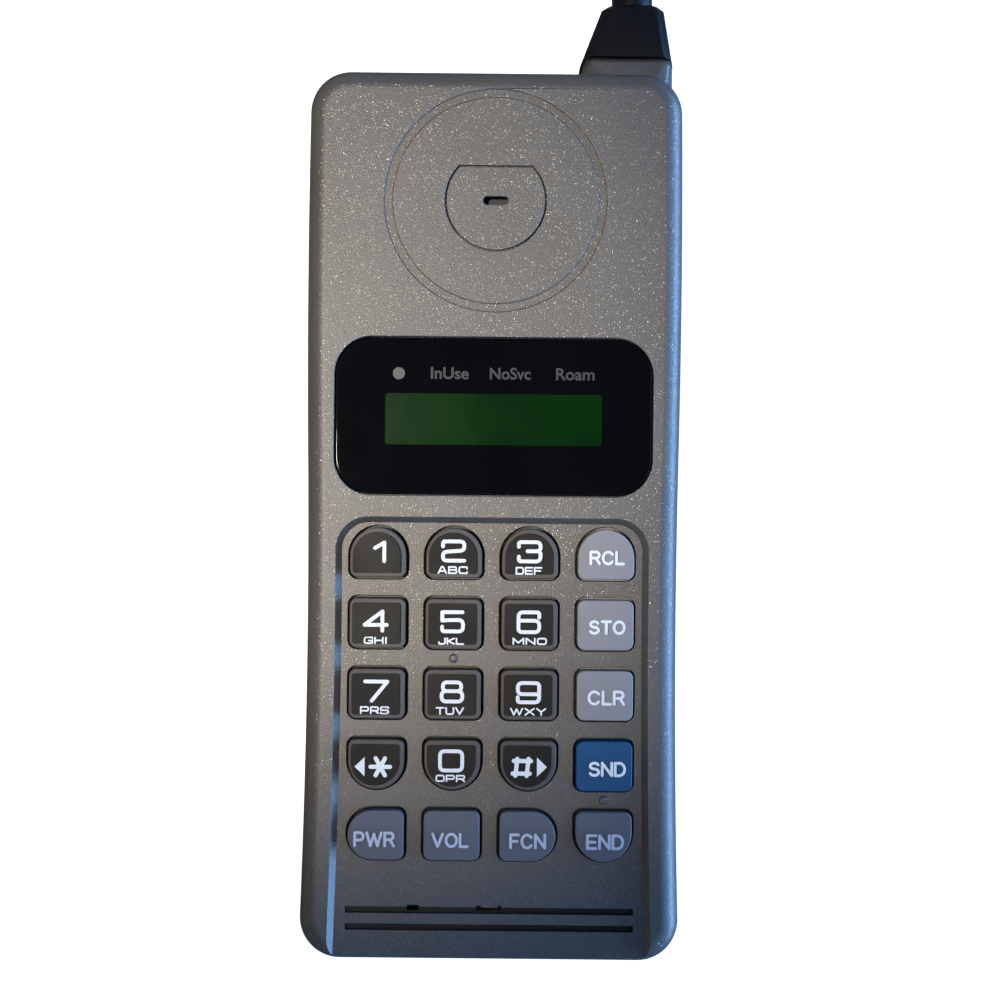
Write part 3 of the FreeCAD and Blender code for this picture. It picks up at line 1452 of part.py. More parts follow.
def make_tray():
    """Battery tray: the back of the phone up to the bay's shoulder, hollow for the cells."""
    body = new_body("battery_tray")
    outline = Drawing(body, "Outline")
    outline.case_outline(0)
    pad(body, "Shell", outline, lid_bottom)
    fillet(body, "BackEdge", edges_at(body.Shape, ZERO), S.back_edge_radius)
    end = Drawing(body, "EndOutline")
    end.rectangle(-outside, outside, pack_end, outside + outside)
    pocket(body, "End", end, lid_bottom, upward=True)
    hollow = Drawing(body, "HollowOutline", lid_bottom)
    hollow.soft_rectangle(-tray_half_width, tray_half_width, S.tray_wall, pack_end - S.tray_wall,
                          S.tray_corner)
    pocket(body, "Hollow", hollow, lid_bottom - S.tray_floor)

    rib_place = cell_start + cell_pitch * (CELLS - 1) + S.cell_radius + S.cell_gap
    ribs = Drawing(body, "RibsOutline", S.tray_floor)
    ribs.rectangle(-tray_half_width - S.fit_gap, tray_half_width + S.fit_gap,
                   rib_place, rib_place + S.rib_thickness)
    pad(body, "CellRib", ribs, lid_bottom - S.tray_floor)
    sides = Drawing(body, "EndRibsOutline", S.tray_floor)
    for side in (-1, 1):
        sides.rectangle(end_rib * side, (end_rib + S.rib_thickness) * side,
                        S.tray_wall, rib_place + S.fit_gap)
    pad(body, "EndRibs", sides, lid_bottom - S.tray_floor)

    grip = Drawing(body, "GripOutline", along=S.grip_start)
    grip.rectangle(-S.grip_half_length, S.grip_half_length, 0, S.grip_width)
    groove = pocket(body, "Grip", grip, S.grip_depth, upward=True)
    repeat(body, "Grips", groove, "Y_Axis", S.grip_pitch, GRIPS)
    seats = Drawing(body, "TerminalOutline", -(pack_end - S.terminal_thickness - S.fit_gap / 2), "XZ_Plane",
                    across=-(S.contact_pitch * (CONTACTS - 1) / 2))
    half_plate = S.terminal_width / 2 + S.fit_gap / 2
    seats.rectangle(-half_plate, half_plate, S.contact_height - S.terminal_length / 2 - S.fit_gap / 2,
                    S.contact_height + S.terminal_length / 2 + S.fit_gap / 2)
    seat = pocket(body, "TerminalSeat", seats, S.terminal_thickness * 2)
    repeat(body, "TerminalSeats", seat, "X_Axis", S.contact_pitch, CONTACTS)


def make_lid():
    """Battery lid: closes the tray and carries four hooks and the spring catch."""
    body = new_body("battery_lid")
    outline = Drawing(body, "Outline", lid_bottom)
    outline.case_outline(0)
    pad(body, "Plate", outline, S.lid_thickness)
    end = Drawing(body, "EndOutline", lid_bottom)
    end.rectangle(-outside, outside, pack_end, outside + outside)
    pocket(body, "End", end, S.lid_thickness, upward=True)
    necks = Drawing(body, "NecksOutline", pack_top)
    heads = Drawing(body, "HeadsOutline", rear_floor + S.fit_gap)
    for side in (-1, 1):
        for place in (S.hook_low, hook_high):
            low, high = place - S.hook_length / 2, place + S.hook_length / 2
            for drawing, width in ((necks, S.hook_neck), (heads, S.hook_head)):
                centre = S.hook_aside * side
                drawing.rectangle(centre - width / 2, centre + width / 2, low, high)
    pad(body, "Necks", necks, rear_floor + S.fit_gap - pack_top)
    pad(body, "Heads", heads, S.hook_head_thickness)
    catch_seat = Drawing(body, "CatchSeatOutline", pack_top)
    half_length = S.catch_length / 2 + S.fit_gap
    catch_seat.rectangle(-(S.catch_width / 2) - S.fit_gap, S.catch_width / 2 + S.fit_gap,
                         catch_place - half_length, catch_place + half_length)
    pocket(body, "CatchSeat", catch_seat, S.catch_sheet + S.fit_gap)


def make_catch():
    """Spring catch: a bent strip whose crest snaps into a notch of the bay floor."""
    body = new_body("battery_catch")
    drawing = Drawing(body, "Profile", -(S.catch_width / 2), "YZ_Plane")
    base = pack_top - S.catch_sheet
    crest = bay_floor + S.catch_rise
    ends = S.catch_length / 2
    foot = S.catch_top / 2 + S.catch_foot - S.hook_gap
    top = S.catch_top / 2
    sheet_side = S.catch_sheet * BEND_SHARE
    centre = catch_place
    drawing.polygon([
        (centre - ends, base),
        (centre - foot + sheet_side, base),
        (centre - top + sheet_side, crest - S.catch_sheet),
        (centre + top - sheet_side, crest - S.catch_sheet),
        (centre + foot - sheet_side, base),
        (centre + ends, base),
        (centre + ends, pack_top),
        (centre + foot, pack_top),
        (centre + top, crest),
        (centre - top, crest),
        (centre - foot, pack_top),
        (centre - ends, pack_top),
    ])
    pad(body, "Strip", drawing, S.catch_width)


def make_cells():
    """Five round cells lying across the tray, joined end to end by straps."""
    cells, straps = [], []
    centre = S.tray_floor + S.fit_gap + S.cell_radius
    for number in range(CELLS):
        way = 1 if number % 2 == 0 else -1
        place = cell_start + cell_pitch * number
        axis = Vector(way, 0, 0)
        can = rod(f"Can{number + 1}", S.cell_radius, cell_half_length * 2, cell_half_length * -way,
                  place, centre, BORE_ROUND, axis)
        tip = rod(f"Tip{number + 1}", S.cell_tip_radius, S.cell_tip_length, cell_half_length * way,
                  place, centre, SMALL_ROUND, axis)
        cells.append(fused(f"Cell{number + 1}", can, tip))
    for number in range(CELLS - 1):
        left = cell_reach if number % 2 == 0 else -(cell_reach + S.strap_thickness)
        straps.append(box(f"Strap{number + 1}",
                          (S.strap_thickness, cell_pitch + S.strap_width, S.strap_width),
                          (left, cell_start + cell_pitch * number - S.strap_width / 2,
                           centre - S.strap_width / 2)))
    group("battery_cells", cells)
    group("battery_straps", straps)


def check_sizes_hold(parts):
    """Stop when an object has failed or a piece has no sound shape."""
    for thing in doc.Objects:
        if "Invalid" in thing.State or "Error" in thing.State:
            raise RuntimeError(f"{thing.Label} failed: {thing.State} {thing.getStatusString()}")
    for piece in parts:
        if piece.Shape.isNull() or not piece.Shape.isValid():
            raise RuntimeError(f"{piece.Label} has no sound shape")


def main():
    make_front_housing()
    make_rear_housing()
    make_lens()
    make_filter()
    make_display()
    make_indicators()
    make_insert()
    make_sound_parts()
    for key in KEYS:
        make_key(*key)
    make_mat()
    make_boards()
    make_antenna()
    make_jack()
    make_contacts()
    make_tray()
    make_lid()
    make_catch()
    make_cells()
    make_screws()
    doc.recompute()
    check_sizes_hold(parts)
    os.makedirs("parts", exist_ok=True)
    for piece in parts:
        piece.Shape.exportStep(f"parts/{piece.Label}.step")
        print(piece.Label, len(piece.Shape.Solids), round(piece.Shape.Volume, 1), piece.Shape.BoundBox)


main()
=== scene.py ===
"""Looks of a bar mobile phone: painted shells, moulded keys with printed legends, lens and antenna."""

import json
import logging
import math
from contextlib import contextmanager
from dataclasses import dataclass, field, replace
from enum import Enum
from typing import Callable, Iterable, Iterator

import bmesh
import bpy
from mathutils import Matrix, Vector

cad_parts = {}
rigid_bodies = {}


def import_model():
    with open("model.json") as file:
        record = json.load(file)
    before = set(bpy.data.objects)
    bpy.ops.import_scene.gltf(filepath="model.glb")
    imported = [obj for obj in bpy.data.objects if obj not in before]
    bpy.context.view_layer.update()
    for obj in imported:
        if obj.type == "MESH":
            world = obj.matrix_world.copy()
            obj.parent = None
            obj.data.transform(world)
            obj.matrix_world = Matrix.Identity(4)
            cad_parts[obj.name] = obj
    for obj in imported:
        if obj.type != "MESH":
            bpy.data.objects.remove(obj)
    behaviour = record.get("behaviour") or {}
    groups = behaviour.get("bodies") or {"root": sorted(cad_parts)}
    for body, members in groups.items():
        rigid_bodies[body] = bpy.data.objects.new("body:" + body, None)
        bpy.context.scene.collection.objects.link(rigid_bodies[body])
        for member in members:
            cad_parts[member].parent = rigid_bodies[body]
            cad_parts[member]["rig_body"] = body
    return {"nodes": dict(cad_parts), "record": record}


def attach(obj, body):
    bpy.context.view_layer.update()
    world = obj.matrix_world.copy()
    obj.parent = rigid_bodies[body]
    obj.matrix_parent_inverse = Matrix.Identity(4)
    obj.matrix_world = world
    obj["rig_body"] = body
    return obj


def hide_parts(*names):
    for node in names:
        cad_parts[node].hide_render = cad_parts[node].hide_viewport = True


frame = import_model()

LOG = logging.getLogger("phone")
MM = 0.001
QUARTER = math.pi / 2
# Heights in mm that differ by less are level, and the angle in degrees from which an edge is a corner
LEVEL = 0.01
CORNER = 60.0
# Points of a stroke in mm that are nearer than this are one
SAME_SPOT = 1e-4
# Points in metres that are nearer than this are joined, in a copied solid and in a written word
SOLID_WELD = 1e-6
WORD_WELD = 1e-7
# How far a cutting tool reaches past what it cuts, in mm
OVER = 1.0
# From which height of its normal a face looks up, and from which it is at least slanted
UPWARD = 0.9
SLANTED = 0.5
# Angle in degrees up to which neighbouring faces are shaded as one
SMOOTH = 32.0
Point = tuple[float, float]
Spot = tuple[float, float, float]
Color = tuple[float, float, float]
Outline = list[Point]
Edge = bmesh.types.BMEdge
Socket = bpy.types.NodeSocket


class Facing(Enum):
    """Which way the round end of a key points; a square key has none."""

    SQUARE = "s"
    UP = "u"
    DOWN = "d"
    LEFT = "l"
    RIGHT = "r"


class KeyStyle(Enum):
    """The four key colours, by material slot; the lower row's blue grey is the lavender plastic made darker
    and bluer as painted shade.
    """

    DIAL = "key_dark"
    MEMORY = "key_lavender"
    SEND = "key_blue"
    CONTROL = "key_blue_grey"


def arc(centre: Point, radius: float, start: float, end: float, steps: int) -> Outline:
    """Points along a circular arc in equal steps, from one angle in radians to another, both included."""
    turns = [start + (end - start) * step / steps for step in range(steps + 1)]
    return [(centre[0] + radius * math.cos(turn), centre[1] + radius * math.sin(turn)) for turn in turns]


def circle(centre: Point, radius: float, steps: int = 96) -> Outline:
    """Points round a full circle, without the doubled last one."""
    return arc(centre, radius, 0, 4 * QUARTER, steps)[:-1]


def rounded(centre: Point, half: Point, radius: float, steps: int = 8) -> Outline:
    """Points round a rectangle with round corners.

    Args:
        centre: Middle of the rectangle in mm.
        half: Half its width and half its height in mm.
        radius: Corner radius in mm.
        steps: Steps in each corner.

    Returns:
        The outline, counter-clockwise.
    """
    (x, y), across, along = centre, half[0] - radius, half[1] - radius
    points = []
    for number, (right, up) in enumerate(((1, -1), (1, 1), (-1, 1), (-1, -1))):
        corner = (x + right * across, y + up * along)
        points += arc(corner, radius, (number - 1) * QUARTER, number * QUARTER, steps)
    return points


def flat_topped(centre: Point, radius: float, flat: float) -> Outline:
    """Points round a circle that a level edge cuts off above its centre."""
    turn = math.asin(flat / radius)
    return arc(centre, radius, 2 * QUARTER - turn, 4 * QUARTER + turn, 96)


def tombstone(half: Point, radius: float) -> Outline:
    """Points round a key about the origin, with a half circle at its upper end."""
    across, along = half
    return (
        arc((across - radius, radius - along), radius, -QUARTER, 0, 8)
        + arc((0.0, along - across), across, 0, 2 * QUARTER, 40)
        + arc((radius - across, radius - along), radius, 2 * QUARTER, 3 * QUARTER, 8)
    )


def mirrored(points: Outline) -> Outline:
    """The right half of an outline, drawn upward, with its left half added."""
    return points + [(-x, y) for x, y in reversed(points)]


@dataclass
class CaseForm:
    """Sizes of the case that the shells and their cuts share, in mm from the bottom end."""

    length: float = 148.43
    height: float = 36.0
    parting: float = 26.0
    corner: float = 6.8
    waist_half: float = 30.87
    waist_place: float = 57.6
    waist_radius: float = 1560.0
    swell_half: float = 31.35
    swell_radius: float = 1800.0
    front_edge: float = 3.2
    side_wall: float = 1.8
    front_wall: float = 3.0
    recess_depth: float = 1.2
    recess_rail: float = 4.87
    recess_top: float = 74.0
    recess_corner: float = 5.5
    recess_slope: float = 1.0
    recess_end: float = -5.0

    @property
    def floor(self) -> float:
        """Height of the keypad panel's floor."""
        return self.height - self.recess_depth

    def along(self, place: float) -> float:
        """A place counted from the bottom end, counted from the case's middle instead."""
        return place - self.length / 2

    def lowered(self, points: Outline) -> Outline:
        """Points counted from the bottom end, moved so that the case's middle is the origin."""
        return [(x, self.along(y)) for x, y in points]

    def outline(self, inset: float = 0.0) -> Outline:
        """The case seen from the front: waisted sides that swell toward the display.

        Args:
            inset: How far the outline lies inside the case's own, in mm.

        Returns:
            The outline, counter-clockwise from the bottom.
        """
        r = self.corner - inset
        waist = self.waist_radius + inset
        swell = self.swell_radius - inset
        reach = self.waist_half + self.waist_radius
        hollow = self.swell_half - self.swell_radius
        low, high = inset + r, self.length - inset - r
        rise = math.sqrt((waist + swell) ** 2 - (reach - hollow) ** 2)
        swell_place = self.waist_place + rise
        low_x = reach - math.sqrt((waist + r) ** 2 - (self.waist_place - low) ** 2)
        high_x = hollow + math.sqrt((swell - r) ** 2 - (high - swell_place) ** 2)
        low_lean = math.asin((self.waist_place - low) / (waist + r))
        high_lean = math.asin((high - swell_place) / (swell - r))
        turn = math.asin(rise / (waist + swell))
        side = (
            arc((low_x, low), r, -QUARTER, low_lean, 16)
            + arc((reach, self.waist_place), waist, math.pi + low_lean, math.pi - turn, 24)[1:]
            + arc((hollow, swell_place), swell, -turn, high_lean, 24)[1:]
            + arc((high_x, high), r, high_lean, QUARTER, 16)[1:]
        )
        return self.lowered(mirrored(side))

    def recess(self, slope: float) -> Outline:
        """The keypad panel's outline, which runs out past the bottom end.

        Args:
            slope: How far the outline lies inside the panel's rim, in mm.

        Returns:
            The outline, counter-clockwise from the bottom.
        """
        r = self.recess_corner - slope
        high = self.recess_top - slope - r
        waist = self.waist_radius + self.recess_rail + slope
        reach = self.waist_half + self.waist_radius
        corner_x = reach - math.sqrt((waist + r) ** 2 - (high - self.waist_place) ** 2)
        lean = math.asin((high - self.waist_place) / (waist + r))
        below = math.asin((self.waist_place - self.recess_end) / waist)
        side = (
            arc((reach, self.waist_place), waist, math.pi + below, math.pi - lean, 40)
            + arc((corner_x, high), r, -lean, QUARTER, 16)[1:]
        )
        return self.lowered(mirrored(side))


def choose(*pieces: bpy.types.Object) -> None:
    """Select these pieces alone and make the first one active."""
    bpy.ops.object.select_all(action="DESELECT")
    for piece in pieces:
        piece.select_set(True)
    bpy.context.view_layer.objects.active = pieces[0]


@contextmanager
def editing(piece: bpy.types.Object) -> Iterator[None]:
    """Edit mode on one piece for the length of a with block."""
    choose(piece)
    bpy.ops.object.mode_set(mode="EDIT")
    bpy.context.tool_settings.mesh_select_mode = (True, True, True)
    yield
    bpy.ops.object.mode_set(mode="OBJECT")


def finish_shading(piece: bpy.types.Object, smooth: float = SMOOTH) -> None:
    """Shade a piece smooth up to an angle and weight its normals by face area."""
    choose(piece)
    bpy.ops.object.shade_smooth_by_angle(angle=math.radians(smooth))
    modifier = piece.modifiers.new("Weights", "WEIGHTED_NORMAL")
    modifier.keep_sharp = True
    bpy.ops.object.modifier_apply(modifier=modifier.name)


def rescaled(piece: bpy.types.Object) -> None:
    """Scale a piece from millimetres to metres."""
    choose(piece)
    piece.scale = (MM, MM, MM)
    bpy.ops.object.transform_apply(location=True, rotation=True, scale=True)


class Workpiece:
    """A solid that is drawn as an outline in mm, extruded, cut and rounded, and then made a piece."""

    def __init__(self, name: str, outline: Outline, low: float, high: float) -> None:
        """Extrude an outline between two heights.

        Args:
            name: Name of the piece.
            outline: Corners in mm, in order.
            low: Lower face in mm.
            high: Upper face in mm.
        """
        bpy.ops.mesh.primitive_circle_add(vertices=len(outline), fill_type="NGON")
        self.piece = bpy.context.object
        self.piece.name = name
        for vertex, (x, y) in zip(self.piece.data.vertices, outline):
            vertex.co = (x, y, low)
        with editing(self.piece):
            bpy.ops.mesh.select_all(action="SELECT")
            bpy.ops.mesh.extrude_region_move(TRANSFORM_OT_translate={"value": (0, 0, high - low)})
            bpy.ops.mesh.select_all(action="SELECT")
            bpy.ops.mesh.normals_make_consistent(inside=False)

    def taper_top(self, outline: Outline) -> "Workpiece":
        """Move the upper rim onto another outline of as many corners."""
        vertices = self.piece.data.vertices
        middle = sum(vertex.co.z for vertex in vertices) / len(vertices)
        upper = [vertex for vertex in vertices if vertex.co.z > middle]
        lower = [vertex for vertex in vertices if vertex.co.z < middle]
        for vertex, target in zip(lower, outline):
            mate = min(upper, key=lambda other: (other.co.xy - vertex.co.xy).length)
            upper.remove(mate)
            mate.co.x, mate.co.y = target
        return self

    def cut(self, tool: "Workpiece", operation: str = "DIFFERENCE") -> "Workpiece":
        """Take the tool's solid away, or join it, and use the tool up."""
        choose(self.piece)
        modifier = self.piece.modifiers.new("Cut", "BOOLEAN")
        modifier.operation = operation
        modifier.solver = "EXACT"
        modifier.object = tool.piece
        bpy.ops.object.modifier_apply(modifier=modifier.name)
        bpy.data.objects.remove(tool.piece)
        return self

    def join(self, tool: "Workpiece") -> "Workpiece":
        """Join another solid to this one."""
        return self.cut(tool, "UNION")

    def round(self, test: Callable[[Edge], bool], width: float, segments: int = 3) -> "Workpiece":
        """Bevel the edges that pass the test.

        Args:
            test: Says of an edge whether it is rounded.
            width: Width of the bevel in mm.
            segments: Number of steps across it.

        Returns:
            The workpiece itself.
        """
        with editing(self.piece):
            mesh = bmesh.from_edit_mesh(self.piece.data)
            for edge in mesh.edges:
                edge.select_set(False)
            for edge in mesh.edges:
                if len(edge.link_faces) == 2 and test(edge):
                    edge.select_set(True)
            bmesh.update_edit_mesh(self.piece.data)
            bpy.ops.mesh.bevel(offset=width, segments=segments, affect="EDGES", clamp_overlap=True)
        return self

    def inset_top(self, width: float, rise: float, shift: float = 0.0) -> "Workpiece":
        """Draw the upper face in, lift it and move it to the right, which leaves a sloped border."""
        with editing(self.piece):
            mesh = bmesh.from_edit_mesh(self.piece.data)
            height = max(vertex.co.z for vertex in mesh.verts)
            for face in mesh.faces:
                face.select_set(face.normal.z > UPWARD and face.calc_center_median().z > height - LEVEL)
            bmesh.update_edit_mesh(self.piece.data)
            bpy.ops.mesh.inset(thickness=width, depth=rise)
            bpy.ops.transform.translate(value=(shift, 0, 0))
        return self

    def settle(self, smooth: float = SMOOTH) -> bpy.types.Object:
        """The finished object in metres, at the origin, shaded smooth up to an angle in degrees."""
        rescaled(self.piece)
        finish_shading(self.piece, smooth)
        return self.piece


def convex_at(height: float, least: float = 40.0) -> Callable[[Edge], bool]:
    """A test for edges at one height in mm whose faces turn outward by some degrees."""
    def test(edge: Edge) -> bool:
        level = all(abs(vertex.co.z - height) < LEVEL for vertex in edge.verts)
        return level and edge.calc_face_angle_signed(0.0) > math.radians(least)
    return test


class Shader:
    """A small helper that adds and links the nodes of one material, group or world."""

    def __init__(self, tree: bpy.types.NodeTree) -> None:
        """Keep the node tree."""
        self.tree = tree

    def set(self, node: bpy.types.Node, inputs: dict[str | int, object]) -> None:
        """Link or set inputs of a node, by name or number; a colour has three numbers."""
        for key, value in inputs.items():
            target = node.inputs[key]
            if isinstance(value, Socket):
                self.tree.links.new(value, target)
            else:
                target.default_value = (*value, 1.0) if target.type == "RGBA" else value

    def add(self, kind: str, inputs: dict[str | int, object] | None = None, **values: object
            ) -> bpy.types.Node:
        """Add a node, set its properties, and link or set its inputs."""
        node = self.tree.nodes.new(kind)
        for name, value in values.items():
            setattr(node, name, value)
        self.set(node, inputs or {})
        return node

    def spread(self, value: Socket, low: float, high: float, to_low: float, to_high: float) -> Socket:
        """Map a range of values onto another, clamped."""
        limits = {"From Min": low, "From Max": high, "To Min": to_low, "To Max": to_high}
        return self.add("ShaderNodeMapRange", {"Value": value, **limits}).outputs["Result"]

    def math(self, operation: str, first: Socket, second: Socket) -> Socket:
        """Combine two numbers."""
        return self.add("ShaderNodeMath", {0: first, 1: second}, operation=operation).outputs[0]

    def vector(self, operation: str, inputs: dict[str | int, object]) -> Socket:
        """Combine vectors."""
        return self.add("ShaderNodeVectorMath", inputs, operation=operation).outputs[0]

    def mix(self, factor: Socket, first: Color | Socket, second: Color | Socket) -> Socket:
        """Mix two colours by a factor."""
        return self.add("ShaderNodeMix", {0: factor, 6: first, 7: second}, data_type="RGBA").outputs[2]


def new_group(name: str, inputs: Iterable[str], outputs: Iterable[str]) -> bpy.types.NodeTree:
    """An empty shader group with number sockets, and a vector socket for each normal."""
    group = bpy.data.node_groups.new(name, "ShaderNodeTree")
    for way, keys in (("INPUT", inputs), ("OUTPUT", outputs)):
        for key in keys:
            kind = "NodeSocketVector" if key == "Normal" else "NodeSocketFloat"
            group.interface.new_socket(name=key, in_out=way, socket_type=kind)
    group.nodes.new("NodeGroupInput")
    group.nodes.new("NodeGroupOutput")
    return group


def make_flake_group() -> bpy.types.NodeTree:
    """Metal flakes in paint, each tilted its own way: which spots they fill, and the surface's normal."""
    group = new_group("metal_flake", ("Scale", "Share", "Tilt", "Normal"), ("Flake", "Normal"))
    shader = Shader(group)
    given = group.nodes["Group Input"].outputs
    place = shader.add("ShaderNodeTexCoord").outputs["Object"]
    cells = shader.add("ShaderNodeTexVoronoi", {"Vector": place, "Scale": given["Scale"]}).outputs["Color"]
    parts = shader.add("ShaderNodeSeparateColor", {"Color": cells})
    flake = shader.math("LESS_THAN", parts.outputs["Red"], given["Share"])
    way = shader.add("ShaderNodeTexWhiteNoise", {"Vector": cells}).outputs["Color"]
    centred = shader.vector("SUBTRACT", {0: way, 1: (0.5, 0.5, 0.5)})
    reach = shader.math("MULTIPLY", flake, given["Tilt"])
    lean = shader.vector("SCALE", {0: centred, "Scale": reach})
    tilted = shader.vector("ADD", {0: given["Normal"], 1: lean})
    normal = shader.vector("NORMALIZE", {0: tilted})
    shader.set(group.nodes["Group Output"], {"Flake": flake, "Normal": normal})
    return group


def make_grain_group() -> bpy.types.NodeTree:
    """Moulding grain: a fine height and a slow variation of shade."""
    group = new_group("moulding_grain", ("Fine", "Slow"), ("Height", "Shade"))
    shader = Shader(group)
    given = group.nodes["Group Input"].outputs
    place = shader.add("ShaderNodeTexCoord").outputs["Object"]
    for scale, target, detail in (("Fine", "Height", 2.0), ("Slow", "Shade", 4.0)):
        noise = shader.add("ShaderNodeTexNoise", {"Vector": place, "Scale": given[scale], "Detail": detail})
        shader.set(group.nodes["Group Output"], {target: noise.outputs["Fac"]})
    return group


FLAKES = make_flake_group()
GRAIN = make_grain_group()
# The parts of the slow noise's range that shade and roughness follow
SHADE_BAND = (0.35, 0.65)
WEAR_BAND = (0.3, 0.7)


@dataclass(frozen=True)
class Finish:
    """A plain moulded or sheet finish with grain and slow changes of shade and roughness."""

    name: str
    color: Color
    shade: float = 0.12
    roughness: float = 0.5
    wear: float = 0.15
    metallic: float = 0.0
    specular: float = 0.5
    grain: float = 0.1
    grain_size: float = 0.0002
    patch_scale: float = 60.0

    def material(self) -> bpy.types.Material:
        """The material of this finish, made on first use."""
        known = bpy.data.materials.get(self.name)
        if known:
            return known
        material = bpy.data.materials.new(self.name)
        material.use_nodes = True
        self.paint(Shader(material.node_tree), material.node_tree.nodes["Principled BSDF"])
        return material

    def paint(self, shader: Shader, surface: bpy.types.Node) -> None:
        """Lay the finish on the surface node."""
        scales = {"Fine": 1 / self.grain_size, "Slow": self.patch_scale}
        grain = shader.add("ShaderNodeGroup", scales, node_tree=GRAIN).outputs
        dark = tuple(channel * (1 - self.shade) for channel in self.color)
        light = tuple(min(channel * (1 + self.shade), 1.0) for channel in self.color)
        shade = shader.spread(grain["Shade"], *SHADE_BAND, 0.0, 1.0)
        smooth, rough = self.roughness * (1 - self.wear), min(self.roughness * (1 + self.wear), 1.0)
        bump = shader.add("ShaderNodeBump", {
            "Strength": self.grain, "Distance": self.grain_size, "Height": grain["Height"],
        })
        shader.set(surface, {
            "Base Color": shader.mix(shade, dark, light),
            "Roughness": shader.spread(grain["Shade"], *WEAR_BAND, smooth, rough),
            "Metallic": self.metallic,
            "Specular IOR Level": self.specular,
            "Normal": bump.outputs["Normal"],
        })


@dataclass(frozen=True)
class FlakePaint(Finish):
    """Textured paint with metal flakes that glint one by one."""

    flake: Color = (0.28, 0.27, 0.255)
    flake_size: float = 0.00009
    flake_share: float = 0.06
    flake_tilt: float = 0.55
    flake_roughness: float = 0.37

    def paint(self, shader: Shader, surface: bpy.types.Node) -> None:
        """Lay the paint on the surface node."""
        super().paint(shader, surface)
        base, normal = (surface.inputs[name].links[0].from_socket for name in ("Base Color", "Normal"))
        flakes = shader.add("ShaderNodeGroup", {
            "Scale": 1 / self.flake_size,
            "Share": self.flake_share,
            "Tilt": self.flake_tilt,
            "Normal": normal,
        }, node_tree=FLAKES).outputs
        spot = flakes["Flake"]
        shader.set(surface, {
            "Base Color": shader.mix(spot, base, self.flake),
            "Metallic": shader.spread(spot, 0.0, 1.0, self.metallic, 1.0),
            "Roughness": shader.spread(spot, 0.0, 1.0, self.roughness, self.flake_roughness),
            "Normal": flakes["Normal"],
        })


CASE_PAINT = FlakePaint("case_paint", (0.13, 0.124, 0.118), shade=0.04, roughness=0.45, metallic=0.3,
                        grain=0.12, grain_size=0.0003)
LENS_BLACK = Finish("gloss_lens", (0.003, 0.003, 0.004), roughness=0.06, specular=0.22, grain=0.0)
WINDOW_GREEN = Finish("dark_green_window", (0.002, 0.026, 0.003), shade=0.2, roughness=0.12, specular=0.25,
                      grain=0.02)
LENS_INK = Finish("lens_ink", (0.06, 0.06, 0.062), roughness=0.4, specular=0.2, grain=0.02)
LAMP_DOT = Finish("lamp_dot", (0.075, 0.075, 0.075), roughness=0.35, specular=0.3, grain=0.05)
KEY_DARK = Finish("key_dark_plastic", (0.085, 0.078, 0.072), specular=0.4, grain=0.15)
KEY_FACE = Finish("key_face_black", (0.008, 0.007, 0.006), specular=0.22, grain=0.06)
KEY_LAVENDER = Finish("key_lavender_plastic", (0.3, 0.29, 0.3), shade=0.04, roughness=0.55, specular=0.4)
KEY_BLUE = Finish("key_blue_plastic", (0.008, 0.085, 0.2), shade=0.05, specular=0.3)
# Lower-row keys: the lavender plastic made darker and bluer, painted shade for the dim lower end
KEY_LAVENDER_IN_PAINTED_SHADE = Finish("key_lavender_painted_shade", (0.13, 0.135, 0.16), shade=0.05, roughness=0.55, specular=0.4)
WHITE_INK = Finish("white_ink", (0.95, 0.95, 0.94), shade=0.03, specular=0.3, grain=0.03)
# The white ink made dimmer and bluer for the lower row's words: painted shade
WHITE_INK_IN_PAINTED_SHADE = Finish("white_ink_painted_shade", (0.62, 0.65, 0.75), shade=0.03, specular=0.3, grain=0.03)
RUBBER = Finish("black_rubber", (0.006, 0.006, 0.007), specular=0.25, grain=0.2, grain_size=0.0004)
MAT_RUBBER = Finish("mat_rubber", (0.02, 0.02, 0.021), roughness=0.7, grain=0.2)
# Black plastic of the frame, capsule and connectors; the same black also paints the shade in the shell's
# holes and slots
BLACK_PLASTIC_AND_SHADE = Finish("black_plastic_and_painted_shade", (0.015, 0.015, 0.016), roughness=0.45, grain=0.15)
STEEL = Finish("bright_steel", (0.55, 0.55, 0.54), roughness=0.32, metallic=1.0)
BRASS = Finish("plated_brass", (0.7, 0.52, 0.2), roughness=0.3, metallic=1.0)
CELL_METAL = Finish("cell_can", (0.5, 0.5, 0.52), roughness=0.35, metallic=1.0, grain=0.08)
BOARD = Finish("green_board", (0.01, 0.09, 0.03), roughness=0.4, grain=0.2)

NODE_FINISHES: dict[str, Finish] = {
    "case_grey": CASE_PAINT, "lens_black": LENS_BLACK, "window_green": WINDOW_GREEN,
    "display_frame": BLACK_PLASTIC_AND_SHADE, "lamp_grey": LAMP_DOT, "rubber_black": RUBBER,
    "rubber_grey": MAT_RUBBER, "capsule_black": BLACK_PLASTIC_AND_SHADE, "steel": STEEL, "brass": BRASS,
    "cell_metal": CELL_METAL, "board_green": BOARD, "connector_black": BLACK_PLASTIC_AND_SHADE,
    "key_dark": KEY_DARK, "key_lavender": KEY_LAVENDER, "key_blue": KEY_BLUE,
    "key_blue_grey": KEY_LAVENDER_IN_PAINTED_SHADE,
}


def dress(piece: bpy.types.Object, finish: Finish) -> None:
    """Give a piece one finish all over."""
    piece.data.materials.clear()
    piece.data.materials.append(finish.material())


def place(piece: bpy.types.Object, body: str, finish: Finish, slot: str, nodes: Iterable[str] = ()) -> None:
    """Dress a finished piece, let it ride on its body and hide the CAD nodes it replaces.

    Args:
        piece: The finished object.
        body: The CAD body it moves with.
        finish: Its finish.
        slot: The record's material slot; not used.
        nodes: The CAD nodes it replaces.
    """
    dress(piece, finish)
    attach(piece, body)
    if nodes:
        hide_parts(*nodes)
    LOG.info("%s: %d faces on %s", piece.name, len(piece.data.polygons), body)


